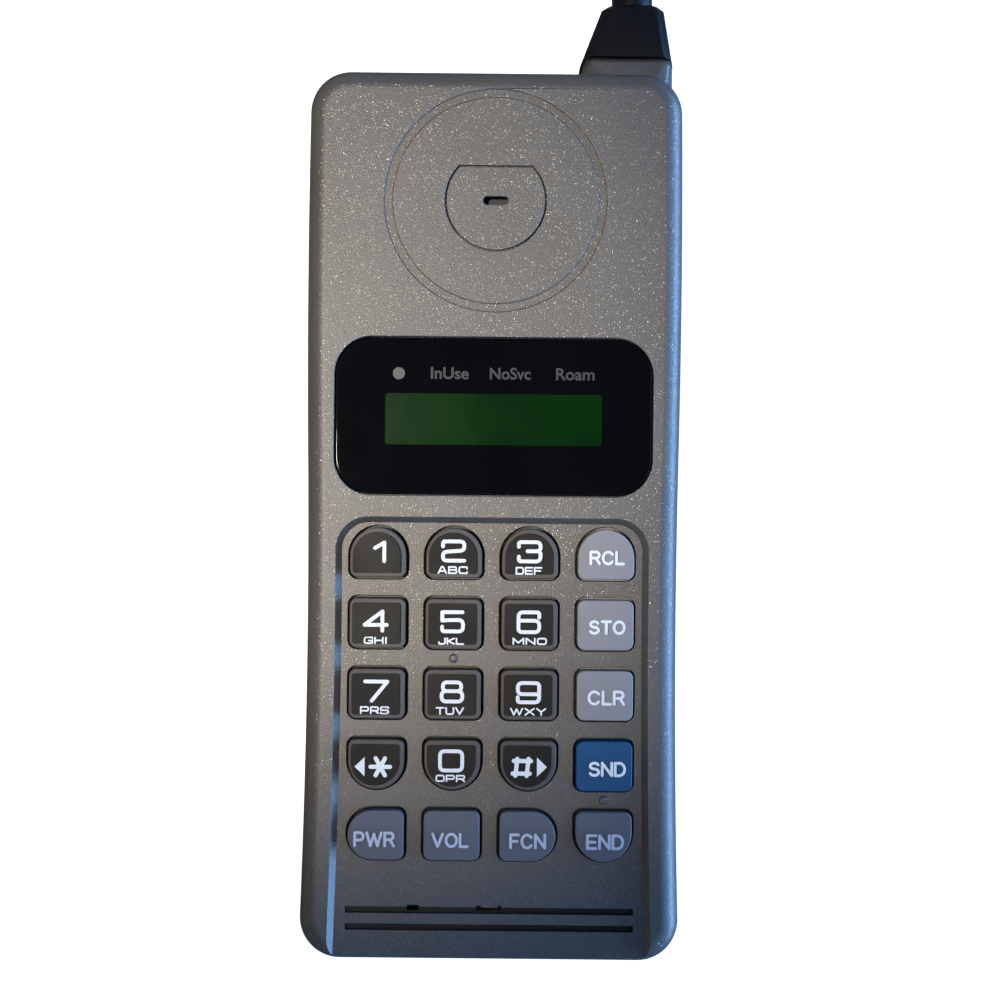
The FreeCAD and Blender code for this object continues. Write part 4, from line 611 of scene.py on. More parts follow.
@dataclass
class FrontShell:
    """The painted front shell with its panel, seats, slots and key holes, in mm."""

    form: CaseForm
    lens_half: Point = (26.5, 13.2)
    lens_place: float = 90.75
    lens_corner: float = 6.35
    lens_floor: float = 34.38
    aperture_half: Point = (23.0, 9.2)
    aperture_corner: float = 1.0
    ear_place: float = 126.65
    ear_port: float = 5.0
    ring_outer: float = 18.45
    ring_inner: float = 17.2
    ring_depth: float = 0.35
    insert_radius: float = 8.45
    insert_flat: float = 5.8
    insert_depth: float = 1.0
    slot_half: float = 24.07
    slot_width: float = 1.05
    slot_depth: float = 1.0
    slot_corner: float = 0.2
    slots: Point = (8.4, 5.55)
    ports: tuple[Point, Point] = ((0.0, 4.26), (-12.7, 2.0))
    port_rise: float = 0.3
    port_corner: float = 0.1
    through: float = 5.0
    nub_radius: float = 0.75
    nub_height: float = 0.42
    nub_root: float = 0.2
    nub_rim: float = 0.4
    nub_spots: tuple[Point, Point] = ((1, 1.5), (3, 3.5))
    panel_rim: float = 0.65
    rim_turn: Point = (20.0, 80.0)
    hole_rim: float = 0.28
    groove_rim: float = 0.22
    parting_rim: float = 0.2
    seat_rim: float = 0.14
    # Depth under the panel floor, and half sizes of the area, within which faces get black painted shade
    shade_depth: float = 0.28
    shaded_half: Point = (28.5, 71.0)

    def build(self, keypad: "Keypad") -> None:
        """Model the shell, with a hole for each key, and dress it."""
        form = self.form
        shell = Workpiece("front_shell", form.outline(), form.parting, form.height)
        shell.round(convex_at(form.height), form.front_edge, 12)
        cavity_top = form.height - form.front_wall
        shell.cut(Workpiece("inside", form.outline(form.side_wall), form.parting - OVER, cavity_top))
        shell.round(convex_at(form.parting, CORNER), self.parting_rim, 2)
        self.cut_panel(shell)
        self.cut_seats(shell)
        self.cut_mouth(shell)
        for key in keypad.keys:
            hole = key.outline(keypad.gap)
            shell.cut(Workpiece("hole", hole, cavity_top - OVER, form.height + OVER))
        shell.round(convex_at(form.floor, CORNER), self.hole_rim, 4)
        self.add_nubs(shell, keypad)
        piece = shell.settle()
        place(piece, "phone", CASE_PAINT, "case_grey", ["front_housing"])
        # Blacken the hole walls and slot floors as painted shade
        self.paint_hole_shade(piece)

    def paint_hole_shade(self, piece: bpy.types.Object) -> None:
        """Paint the inside and the walls of the holes and slots black below the panel floor, as painted shade
        in the key gaps and slots.
        """
        piece.data.materials.append(BLACK_PLASTIC_AND_SHADE.material())
        half_width, half_length = self.shaded_half
        for face in piece.data.polygons:
            across, along, up = face.center / MM
            inside = abs(across) < half_width and abs(along) < half_length
            if inside and up < self.form.floor - self.shade_depth:
                face.material_index = 1

    def cut_panel(self, shell: Workpiece) -> None:
        """Sink the keypad panel, with sloped walls and a rounded rim."""
        form = self.form
        over = form.recess_depth / 2
        tool = Workpiece("panel", form.recess(form.recess_slope), form.floor, form.height + over)
        tool.taper_top(form.recess(-form.recess_slope * over / form.recess_depth))
        shell.cut(tool)

        def rim(edge: Edge) -> bool:
            """The outward edge where the panel's wall meets the front face and the bottom edge."""
            high = all(vertex.co.z > form.floor + form.recess_depth / 4 for vertex in edge.verts)
            slanted = any(SLANTED < face.normal.z < UPWARD for face in edge.link_faces)
            turn = math.degrees(edge.calc_face_angle_signed(0.0))
            return high and slanted and self.rim_turn[0] < turn < self.rim_turn[1]

        shell.round(rim, self.panel_rim, 5)

    def cut_seats(self, shell: Workpiece) -> None:
        """Cut the ring groove, the seats of the lens and the insert, and the openings behind them."""
        front = self.form.height
        top = front + OVER
        ear = (0.0, self.form.along(self.ear_place))
        groove_floor = front - self.ring_depth
        groove = Workpiece("groove", circle(ear, self.ring_outer, 160), groove_floor, top)
        core = circle(ear, self.ring_inner, 160)
        groove.cut(Workpiece("core", core, groove_floor - OVER, top + OVER))
        shell.cut(groove)
        shell.round(convex_at(front, CORNER), self.groove_rim, 4)
        lens = (0.0, self.form.along(self.lens_place))
        for name, outline, low in (
            ("seat", rounded(lens, self.lens_half, self.lens_corner, 20), self.lens_floor),
            ("window", rounded(lens, self.aperture_half, self.aperture_corner), front - self.through),
            ("insert", flat_topped(ear, self.insert_radius, self.insert_flat), front - self.insert_depth),
            ("port", circle(ear, self.ear_port), front - self.through),
        ):
            shell.cut(Workpiece(name, outline, low, top))
        shell.round(convex_at(front, CORNER), self.seat_rim, 3)

    def cut_mouth(self, shell: Workpiece) -> None:
        """Cut the two long slots of the lower end and the ports in the upper one."""
        form = self.form
        for along in self.slots:
            half = (self.slot_half, self.slot_width / 2)
            slot = rounded((0.0, form.along(along)), half, self.slot_corner, 3)
            shell.cut(Workpiece("slot", slot, form.floor - self.slot_depth, form.height))
        for across, width in self.ports:
            middle = (across, form.along(self.slots[0] + self.port_rise))
            port = rounded(middle, (width / 2, self.slot_width / 2), self.port_corner, 2)
            shell.cut(Workpiece("port", port, form.floor - self.through, form.height))

    def add_nubs(self, shell: Workpiece, keypad: "Keypad") -> None:
        """Raise the two small nubs between the key rows."""
        floor = self.form.floor
        for spot in self.nub_spots:
            outline = circle(keypad.spot(*spot), self.nub_radius, 32)
            nub = Workpiece("nub", outline, floor - self.nub_root, floor + self.nub_height)
            nub.round(convex_at(floor + self.nub_height), self.nub_rim, 6)
            shell.join(nub)


@dataclass
class Key:
    """One key: its form and where it stands, in mm."""

    node: str
    facing: Facing
    style: KeyStyle
    centre: Point
    width: float = 9.3
    length: float = 8.2
    corner: float = 1.2

    def outline(self, grow: float = 0.0) -> Outline:
        """The key's outline, counter-clockwise, grown all round by some mm."""
        half = (self.width / 2 + grow, self.length / 2 + grow)
        radius = self.corner + grow
        if self.facing is Facing.SQUARE:
            points = rounded((0.0, 0.0), half, radius)
        elif self.facing in (Facing.LEFT, Facing.RIGHT):
            points = tombstone((half[1], half[0]), radius)
        else:
            points = tombstone(half, radius)
        turns = {Facing.LEFT: (0, 1), Facing.DOWN: (-1, 0), Facing.RIGHT: (0, -1)}
        cosine, sine = turns.get(self.facing, (1, 0))
        left, low = self.centre
        return [(left + cosine * x - sine * y, low + sine * x + cosine * y) for x, y in points]


@dataclass
class Keypad:
    """The twenty keys in five rows, in mm."""

    form: CaseForm
    rows: tuple[str, ...] = (
        "1:u 2:u 3:u recall:u",
        "4:s 5:s 6:s store:s",
        "7:s 8:s 9:s clear:s",
        "star:d 0:d pound:d send:s",
        "power:l volume:s function:r end:d",
    )
    pitch: Point = (12.6, 11.72)
    low_row: float = 21.16
    gap: float = 0.4
    stand: float = 2.25
    bevel: float = 0.6
    top_shift: float = -0.2
    top_rim: float = 0.12
    side_rim: float = 0.22
    rim_turn: float = 20.0
    smooth: float = 25.0
    flange_top: float = 32.9
    flange_thickness: float = 0.8
    flange_half: Point = (5.4, 4.85)
    flange_corner: float = 0.3
    skirt: float = 0.4
    face_border: float = 0.08
    face_rise: float = 0.02
    face_sunk: float = 0.05
    keys: list[Key] = field(default_factory=list)

    def __post_init__(self) -> None:
        """Lay out the keys."""
        for line, row in enumerate(self.rows):
            for column, word in enumerate(row.split()):
                name, facing = word.split(":")
                style = self.style(column, line)
                self.keys.append(Key("key_" + name, Facing(facing), style, self.spot(column, line)))

    def style(self, column: int, line: int) -> KeyStyle:
        """The moulding colour of the key in a column and a row."""
        # The lower row gets the darker, bluer copy of the lavender: painted shade
        if line == 4:
            return KeyStyle.CONTROL
        if column < 3:
            return KeyStyle.DIAL
        return KeyStyle.SEND if line == 3 else KeyStyle.MEMORY

    def spot(self, column: float, line: float) -> Point:
        """Where a column and a row cross, in mm."""
        across = self.pitch[0] * (column - 1.5)
        return across, self.form.along(self.low_row + self.pitch[1] * (4 - line))

    @property
    def top(self) -> float:
        """Height of the key tops in mm, a little under the CAD's for the printed layers."""
        return self.form.floor + self.stand

    def build(self) -> None:
        """Model every key, with a printed face on the dial keys."""
        shoulder = self.top - self.bevel
        for key in self.keys:
            cap = Workpiece(key.node + "_cap", key.outline(), self.flange_top - self.skirt, shoulder)
            cap.inset_top(self.bevel, self.bevel, self.top_shift)
            cap.round(convex_at(self.top, self.rim_turn), self.top_rim, 3)
            cap.round(convex_at(shoulder, self.rim_turn), self.side_rim, 3)
            flange = rounded(key.centre, self.flange_half, self.flange_corner, 2)
            cap.join(Workpiece("flange", flange, self.flange_top - self.flange_thickness, self.flange_top))
            body, slot = key.node + "_body", key.style.value
            place(cap.settle(self.smooth), body, NODE_FINISHES[slot], slot, [key.node])
            if key.style is KeyStyle.DIAL:
                outline = [(x + self.top_shift, y) for x, y in key.outline(-self.bevel - self.face_border)]
                low, high = self.top - self.face_sunk, self.top + self.face_rise
                face = Workpiece(key.node + "_face", outline, low, high)
                place(face.settle(), body, KEY_FACE, slot)


# How far ink reaches below and above the surface that it is printed on, in mm
INK_SUNK = 0.01
INK_RISE = 0.03
WORD_RISE = 0.025
# Centre lines of the dial lettering, with points in hundredths of the letter's box and strokes parted by ;
GLYPH_LINES: dict[str, str] = {
    "0": "50,0 0,0 0,100 50,100; 50,100 100,100 100,0 50,0",
    "1": "0,70 95,100; 95,100 95,0",
    "2": "0,74 0,100 100,100 100,53 50,49; 50,49 0,45 0,0 40,0; 40,0 100,0",
    "3": "0,76 0,100 100,100 100,53 40,53; 70,53 100,53 100,0 0,0 0,24",
    "4": "80,100 0,30; 0,30 100,30; 80,100 80,0",
    "5": "97,100 0,100; 0,100 0,56; 0,56 30,58.5; 30,58.5 100,60 100,0 0,0 0,24",
    "6": "100,74 100,100 0,100 0,40; 0,40 0,0 100,0 100,58 40,58; 40,58 0,58",
    "7": "0,100 100,100; 100,100 30,0",
    "8": "50,54 6,54 6,100 50,100; 50,100 94,100 94,54 50,54; 50,0 0,0 0,54 50,54; 50,54 100,54 100,0 50,0",
    "9": "0,26 0,0 100,0 100,60; 100,60 100,100 0,100 0,42 60,42; 60,42 100,42",
    "*": "0,50 100,50; 26,2 74,98; 26,98 74,2",
    "#": "15,0 25,100; 77,0 87,100; 0,13 94,13; 6,87 100,87",
    "A": "0,0 40,100; 40,100 60,100; 60,100 100,0; 16,32 84,32",
    "B": "0,0 0,100; 0,100 94,100 94,52 30,52; 0,52 100,52 100,0 0,0",
    "C": "100,74 100,100 0,100 0,0 100,0 100,26",
    "D": "0,0 0,100; 0,100 100,100 100,0 0,0",
    "E": "100,100 0,100; 0,100 0,0; 0,0 100,0; 0,50 90,50",
    "F": "100,100 0,100; 0,100 0,0; 0,50 85,50",
    "G": "100,78 100,100 0,100 0,0 50,0; 50,0 100,0 100,45; 100,45 55,45",
    "H": "0,0 0,100; 100,0 100,100; 0,50 100,50",
    "I": "50,0 50,100",
    "J": "0,30 0,0 100,0 100,100",
    "K": "0,0 0,100; 100,100 10,50; 10,50 100,0",
    "L": "0,100 0,0; 0,0 100,0",
    "M": "0,0 0,100; 0,100 50,20; 50,20 100,100; 100,100 100,0",
    "N": "0,0 0,100; 0,100 100,0; 100,0 100,100",
    "P": "0,0 0,100; 0,100 100,100 100,40 0,40",
    "R": "0,0 0,100; 0,100 100,100 100,42 0,42; 60,42 100,0",
    "S": "100,80 100,100 0,100 0,53 50,50; 50,50 100,47 100,0 0,0 0,20",
    "T": "0,100 100,100; 50,100 50,0",
    "U": "0,100 0,0 100,0 100,100",
    "V": "0,100 50,0; 50,0 100,100",
    "W": "0,100 26,0; 26,0 50,90; 50,90 74,0; 74,0 100,100",
    "X": "0,0 100,100; 0,100 100,0",
    "Y": "0,100 50,48; 50,48 100,100; 50,50 50,0",
}
GLYPHS: dict[str, list[Outline]] = {
    sign: [[tuple(float(number) / 100 for number in point.split(",")) for point in stroke.split()]
           for stroke in drawn.split(";")]
    for sign, drawn in (*GLYPH_LINES.items(), ("O", GLYPH_LINES["0"]))
}
SQUARE_SET: dict[str, float] = {"I": 0.12, "W": 1.35, "M": 1.2, "J": 0.9}


def bow(centre: Point, reach: Point, start: float, end: float) -> Outline:
    """Points along an ellipse of half a width and half a height, from one angle in degrees to another."""
    turns = arc((0.0, 0.0), 1.0, math.radians(start), math.radians(end), 16)
    return [(centre[0] + reach[0] * x, centre[1] + reach[1] * y) for x, y in turns]


STEM: Outline = [(0, 0), (0, 1)]
# Rounder letters for the words, where a bowl is part of an ellipse
BOWLED: dict[str, list[Outline]] = {
    "C": [bow((0.52, 0.5), (0.52, 0.5), 38, 322)],
    "D": [STEM, [(0, 1), (0.42, 1), *bow((0.45, 0.5), (0.55, 0.5), 88, -88), (0.42, 0), (0, 0)]],
    "O": [bow((0.5, 0.5), (0.5, 0.5), 90, 270), bow((0.5, 0.5), (0.5, 0.5), -90, 90)],
    "P": [STEM, [(0, 1), (0.58, 1), *bow((0.6, 0.72), (0.4, 0.28), 88, -88), (0.58, 0.44), (0, 0.44)]],
    "R": [STEM, [(0, 1), (0.56, 1), *bow((0.58, 0.74), (0.38, 0.26), 88, -88), (0.56, 0.48), (0, 0.48)],
          [(0.6, 0.48), (1, 0)]],
    "S": [[*bow((0.5, 0.76), (0.46, 0.24), 22, 262), *bow((0.5, 0.26), (0.5, 0.26), 82, -158)]],
}
PROPORTIONAL: dict[str, float] = {
    "C": 1.0, "D": 0.93, "E": 0.8, "F": 0.76, "L": 0.72, "N": 0.92, "O": 1.04, "P": 0.84, "R": 0.88,
    "S": 0.86, "T": 0.9, "V": 0.98, "W": 1.45,
}


# Steps in a softened corner of a stroke, and the share of a stroke's leg that it may take up
CORNER_STEPS = 6
LONGEST_CORNER = 0.48
# Cosine of half a bend, below which the outline of a stroke no longer reaches out to the bend's tip
LEAST_MITRE = 0.625


def softened(path: Outline, radius: float) -> Outline:
    """A path whose corners are replaced by arcs of at most this radius in mm."""
    points = [path[0]]
    for before, corner, after in zip(path, path[1:], path[2:]):
        middle = Vector(corner)
        back, ahead = Vector(before) - middle, Vector(after) - middle
        turn = math.pi - back.angle(ahead)
        longest = LONGEST_CORNER * min(back.length, ahead.length)
        reach = min(radius * math.tan(turn / 2), longest)
        start, end = middle + back.normalized() * reach, middle + ahead.normalized() * reach
        for step in range(CORNER_STEPS + 1):
            share = step / CORNER_STEPS
            spot = start * (1 - share) ** 2 + middle * 2 * share * (1 - share) + end * share ** 2
            points.append((spot.x, spot.y))
    points.append(path[-1])
    return points


def ribbon(path: Outline, width: float) -> Outline:
    """The outline of a stroke of one width with round ends along a path.

    Args:
        path: The centre line in mm.
        width: Width of the stroke in mm.

    Returns:
        The outline, counter-clockwise.
    """
    kept = [Vector(path[0])]
    for spot in map(Vector, path[1:]):
        if (spot - kept[-1]).length > SAME_SPOT:
            kept.append(spot)
    left: Outline = []
    right: Outline = []
    for index, spot in enumerate(kept):
        before = kept[max(index - 1, 0)]
        after = kept[min(index + 1, len(kept) - 1)]
        into = (spot - before).normalized() if index else (after - spot).normalized()
        out = (after - spot).normalized() if index < len(kept) - 1 else into
        along = (into + out).normalized()
        stretch = 1 / max(along.dot(into), LEAST_MITRE)
        offset = Vector((-along.y, along.x)) * (width / 2) * stretch
        left.append(tuple(spot + offset))
        right.append(tuple(spot - offset))
    caps = []
    for tip, way in ((kept[-1], kept[-1] - kept[-2]), (kept[0], kept[0] - kept[1])):
        turn = math.atan2(way.y, way.x)
        caps.append(arc(tuple(tip), width / 2, turn - QUARTER, turn + QUARTER, 8)[1:-1])
    return right + caps[0] + left[::-1] + caps[1]


@dataclass
class Legend:
    """A line of lettering that fills a box on a key or on the lens, in mm."""

    text: str
    left: float
    right: float
    low: float
    high: float
    stroke: float = 0.5
    corner: float = 0.8
    widths: dict[str, float] = field(default_factory=lambda: SQUARE_SET)
    bowled: bool = False
    gap: float = 0.34

    def strokes(self) -> list[list[Outline]]:
        """The centre lines of each letter's strokes, in mm on the front face."""
        widths = [self.widths.get(letter, 1.0) for letter in self.text]
        unit = (self.right - self.left - self.stroke) / (sum(widths) + self.gap * (len(widths) - 1))
        low, high = self.low + self.stroke / 2, self.high - self.stroke / 2
        start = self.left + self.stroke / 2
        letters = []
        for letter, width in zip(self.text, widths):
            round_one = self.bowled and letter in BOWLED
            paths = [[(start + x * width * unit, low + y * (high - low)) for x, y in line]
                     for line in (BOWLED if round_one else GLYPHS)[letter]]
            letters.append(paths if round_one else [softened(path, self.corner) for path in paths])
            start += (width + self.gap) * unit
        return letters

    def drawn(self, name: str, height: float) -> Workpiece:
        """Lay the strokes down as thin ink on a surface at this height in mm; the ink isn't settled yet."""
        letters = []
        for lines in self.strokes():
            low, high = height - INK_SUNK, height + INK_RISE
            letter, *others = [Workpiece(name, ribbon(line, self.stroke), low, high) for line in lines]
            for stroke in others:
                letter.join(stroke)
            letters.append(letter)
        return joined(letters)


def joined(works: list[Workpiece]) -> Workpiece:
    """Several workpieces as one object."""
    choose(*(work.piece for work in works))
    bpy.ops.object.join()
    return works[0]


def written(name: str, legend: Legend, height: float, weight: float = 0.02) -> bpy.types.Object:
    """A word in the plain built-in letters, fitted to its box.

    Args:
        name: Name of the piece.
        legend: The word and its box.
        height: Height of the surface under the ink, in mm.
        weight: How much the strokes are thickened, as a share of the letters' size.

    Returns:
        The word as a finished mesh.
    """
    bpy.ops.object.text_add()
    word = bpy.context.object
    word.name = name
    word.data.body = legend.text
    word.data.size = 1.0
    word.data.offset = weight
    word.data.extrude = 0.01
    word.data.resolution_u = 6
    bpy.ops.object.convert(target="MESH")
    word = bpy.context.object
    spots = [vertex.co.copy() for vertex in word.data.vertices]
    box = ((legend.left, legend.right), (legend.low, legend.high), (height - INK_SUNK, height + WORD_RISE))
    for axis, (start, end) in enumerate(box):
        low, high = min(spot[axis] for spot in spots), max(spot[axis] for spot in spots)
        for vertex, spot in zip(word.data.vertices, spots):
            vertex.co[axis] = start + (spot[axis] - low) / (high - low) * (end - start)
    rescaled(word)
    with editing(word):
        bpy.ops.mesh.select_all(action="SELECT")
        bpy.ops.mesh.remove_doubles(threshold=WORD_WELD)
        bpy.ops.mesh.normals_make_consistent(inside=False)
    return word


@dataclass
class KeyPrinting:
    """The printed legends of the keys, in mm on the phone's front, counted from the bottom end."""

    keypad: Keypad
    letters_stroke: float = 0.27
    letters_corner: float = 0.35
    digit_stroke: float = 0.62
    digit_corner: float = 0.8
    sign_stroke: float = 0.7
    word_stroke: float = 0.46
    word_corner: float = 0.1
    face_drop: float = 1.0

    def dial_legends(self) -> dict[str, list[Legend]]:
        """The digits, signs and letters of the dial keys."""
        rows = {
            "key_1": [("1", -19.7, -17.45, 67.3, 71.0)],
            "key_2": [("2", -8.45, -4.3, 67.5, 71.3), ("ABC", -9.0, -4.0, 65.6, 66.9)],
            "key_3": [("3", 4.1, 8.3, 67.5, 71.3), ("DEF", 3.9, 8.3, 65.6, 66.9)],
            "key_4": [("4", -21.3, -17.0, 55.8, 59.6), ("GHI", -21.1, -17.2, 53.9, 55.1)],
            "key_5": [("5", -8.45, -4.4, 55.8, 59.6), ("JKL", -8.8, -4.5, 53.9, 55.1)],
            "key_6": [("6", 4.15, 8.2, 55.8, 59.7), ("MNO", 3.5, 9.2, 54.0, 55.2)],
            "key_7": [("7", -21.1, -16.8, 44.2, 48.0), ("PRS", -21.6, -16.8, 42.3, 43.6)],
            "key_8": [("8", -8.45, -4.4, 44.2, 48.0), ("TUV", -9.1, -4.4, 42.3, 43.6)],
            "key_9": [("9", 4.15, 8.3, 44.2, 48.0), ("WXY", 3.2, 9.2, 42.3, 43.6)],
            "key_star": [("*", -20.1, -16.2, 31.8, 35.4)],
            "key_0": [("0", -8.6, -4.3, 32.8, 36.6), ("OPR", -9.0, -4.1, 31.2, 32.4)],
            "key_pound": [("#", 3.4, 7.1, 32.0, 35.5)],
        }
        return {node: [self.dial_legend(*line) for line in lines] for node, lines in rows.items()}

    def dial_legend(self, text: str, *box: float) -> Legend:
        """One digit, sign or row of letters in its box, with its own stroke."""
        if len(text) > 1:
            return Legend(text, *box, self.letters_stroke, self.letters_corner)
        return Legend(text, *box, self.sign_stroke if text in "*#" else self.digit_stroke, self.digit_corner)

    def words(self) -> dict[str, Legend]:
        """The function words of the other keys."""
        rows = {
            "key_recall": ("RCL", 16.1, 22.0, 67.3, 69.7),
            "key_store": ("STO", 16.1, 22.2, 55.8, 58.2),
            "key_clear": ("CLR", 16.0, 22.2, 44.1, 46.6),
            "key_send": ("SND", 16.3, 22.5, 32.3, 34.8),
            "key_power": ("PWR", -22.5, -15.6, 20.3, 22.9),
            "key_volume": ("VOL", -9.6, -3.4, 20.3, 22.8),
            "key_function": ("FCN", 3.3, 9.4, 20.2, 22.8),
            "key_end": ("END", 16.0, 22.3, 20.2, 22.8),
        }
        return {node: Legend(*row, self.word_stroke, self.word_corner, PROPORTIONAL, True)
                for node, row in rows.items()}

    @property
    def shift(self) -> float:
        """From the places as measured to the phone's own middle, on the keys' tops."""
        return self.keypad.form.along(-self.face_drop)

    def lowered(self, legend: Legend) -> Legend:
        """A legend moved from the measured places to the phone's own middle."""
        return replace(legend, low=legend.low + self.shift, high=legend.high + self.shift)

    def build(self) -> None:
        """Print every key."""
        face = self.keypad.top + self.keypad.face_rise
        for node, legends in self.dial_legends().items():
            inks = [self.lowered(legend).drawn(node + "_legend", face) for legend in legends]
            if node in ("key_star", "key_pound"):
                inks.append(self.arrow(node, face))
            place(joined(inks).settle(), node + "_body", WHITE_INK, KeyStyle.DIAL.value)
        styles = {key.node: key.style for key in self.keypad.keys}
        for node, legend in self.words().items():
            # The lower row's words take the dimmer, bluer copy of the white ink: painted shade
            ink = WHITE_INK_IN_PAINTED_SHADE if styles[node] is KeyStyle.CONTROL else WHITE_INK
            word = self.lowered(legend).drawn(node + "_legend", self.keypad.top)
            place(word.settle(), node + "_body", ink, styles[node].value)

    def arrow(self, node: str, height: float) -> Workpiece:
        """The filled triangle beside the star or the pound sign."""
        if node == "key_star":
            corners = [(-20.75, 32.0), (-20.75, 35.2), (-22.4, 33.6)]
        else:
            corners = [(7.75, 32.2), (9.4, 33.8), (7.75, 35.4)]
        moved = [(x, y + self.shift) for x, y in corners]
        return Workpiece(node + "_arrow", moved, height - INK_SUNK, height + INK_RISE)


@dataclass
class DisplayLens:
    """The gloss lens with its bright rim, the green window and the dim legends under it, in mm."""

    form: CaseForm
    half: Point = (26.35, 13.05)
    middle: float = 90.75
    corner: float = 6.2
    low: float = 34.38
    top: float = 35.88
    bevel: float = 0.35
    window_half: Point = (18.0, 4.25)
    window_place: float = 90.25
    window_corner: float = 0.5
    window_depth: float = 0.25
    dot: Point = (-15.8, 97.8)
    dot_radius: float = 1.0
    words: tuple[tuple[str, float, float], ...] = (
        ("InUse", -10.5, -4.2), ("NoSvc", -0.7, 6.1), ("Roam", 10.3, 16.7),
    )
    words_low: float = 96.9
    words_high: float = 98.9
    print_sunk: float = 0.02
    dot_rise: float = 0.008
    window_sunk: float = 0.01

    def build(self) -> None:
        """Model the lens and what shows through it."""
        along = self.form.along
        floor = self.top - self.window_depth
        outline = rounded((0.0, along(self.middle)), self.half, self.corner, 24)
        lens = Workpiece("lens_plate", outline, self.low, self.top)
        lens.round(convex_at(self.top), self.bevel, 4)
        opening = rounded((0.0, along(self.window_place)), self.window_half, self.window_corner, 6)
        lens.cut(Workpiece("opening", opening, floor, self.top + OVER))
        place(lens.settle(), "phone", LENS_BLACK, "lens_black", ["display_lens"])
        window = Workpiece("lens_window", opening, floor, self.top - self.window_sunk)
        place(window.settle(), "phone", WINDOW_GREEN, "window_green")
        dot = circle((self.dot[0], along(self.dot[1])), self.dot_radius, 40)
        printed = self.top - self.print_sunk
        lamp = Workpiece("lens_dot", dot, printed, self.top + self.dot_rise)
        place(lamp.settle(), "phone", LAMP_DOT, "lamp_grey")
        for number, (text, left, right) in enumerate(self.words, start=1):
            legend = Legend(text, left, right, along(self.words_low), along(self.words_high))
            word = written(f"lens_legend_{number}", legend, printed)
            place(word, "phone", LENS_INK, "lamp_grey")


@dataclass
class EarInsert:
    """The flush insert of the earpiece, with one flat edge and a sound slot, in mm."""

    form: CaseForm
    middle: float = 126.65
    radius: float = 8.22
    flat: float = 5.57
    thickness: float = 1.0
    rim: float = 0.14
    slot_half: Point = (2.1, 0.675)
    slot_straight: float = 0.02

    def build(self) -> None:
        """Model the insert."""
        centre = (0.0, self.form.along(self.middle))
        top = self.form.height
        low = top - self.thickness
        insert = Workpiece("ear_insert", flat_topped(centre, self.radius, self.flat), low, top)
        slot = rounded(centre, self.slot_half, self.slot_half[1] - self.slot_straight, 10)
        insert.cut(Workpiece("slot", slot, low - OVER, top + OVER))
        insert.round(convex_at(top), self.rim, 3)
        place(insert.settle(), "phone", CASE_PAINT, "case_grey", ["earpiece_cover"])


def carry_over(name: str, finish: Finish) -> None:
    """Stand a merged, smooth copy with a finish in for a CAD node that shows."""
    node = frame["nodes"][name]
    copy = bpy.data.objects.new(name + "_skin", node.data.copy())
    bpy.context.scene.collection.objects.link(copy)
    with editing(copy):
        bpy.ops.mesh.select_all(action="SELECT")
        bpy.ops.mesh.remove_doubles(threshold=SOLID_WELD)
    finish_shading(copy)
    place(copy, node["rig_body"], finish, slot_of(name), [name])


def slot_of(node: str) -> str:
    """The record's material slot of a CAD node."""
    rows = frame["record"]["subparts"]
    return next(row["material_slot"] for row in rows if row["node"] == node)


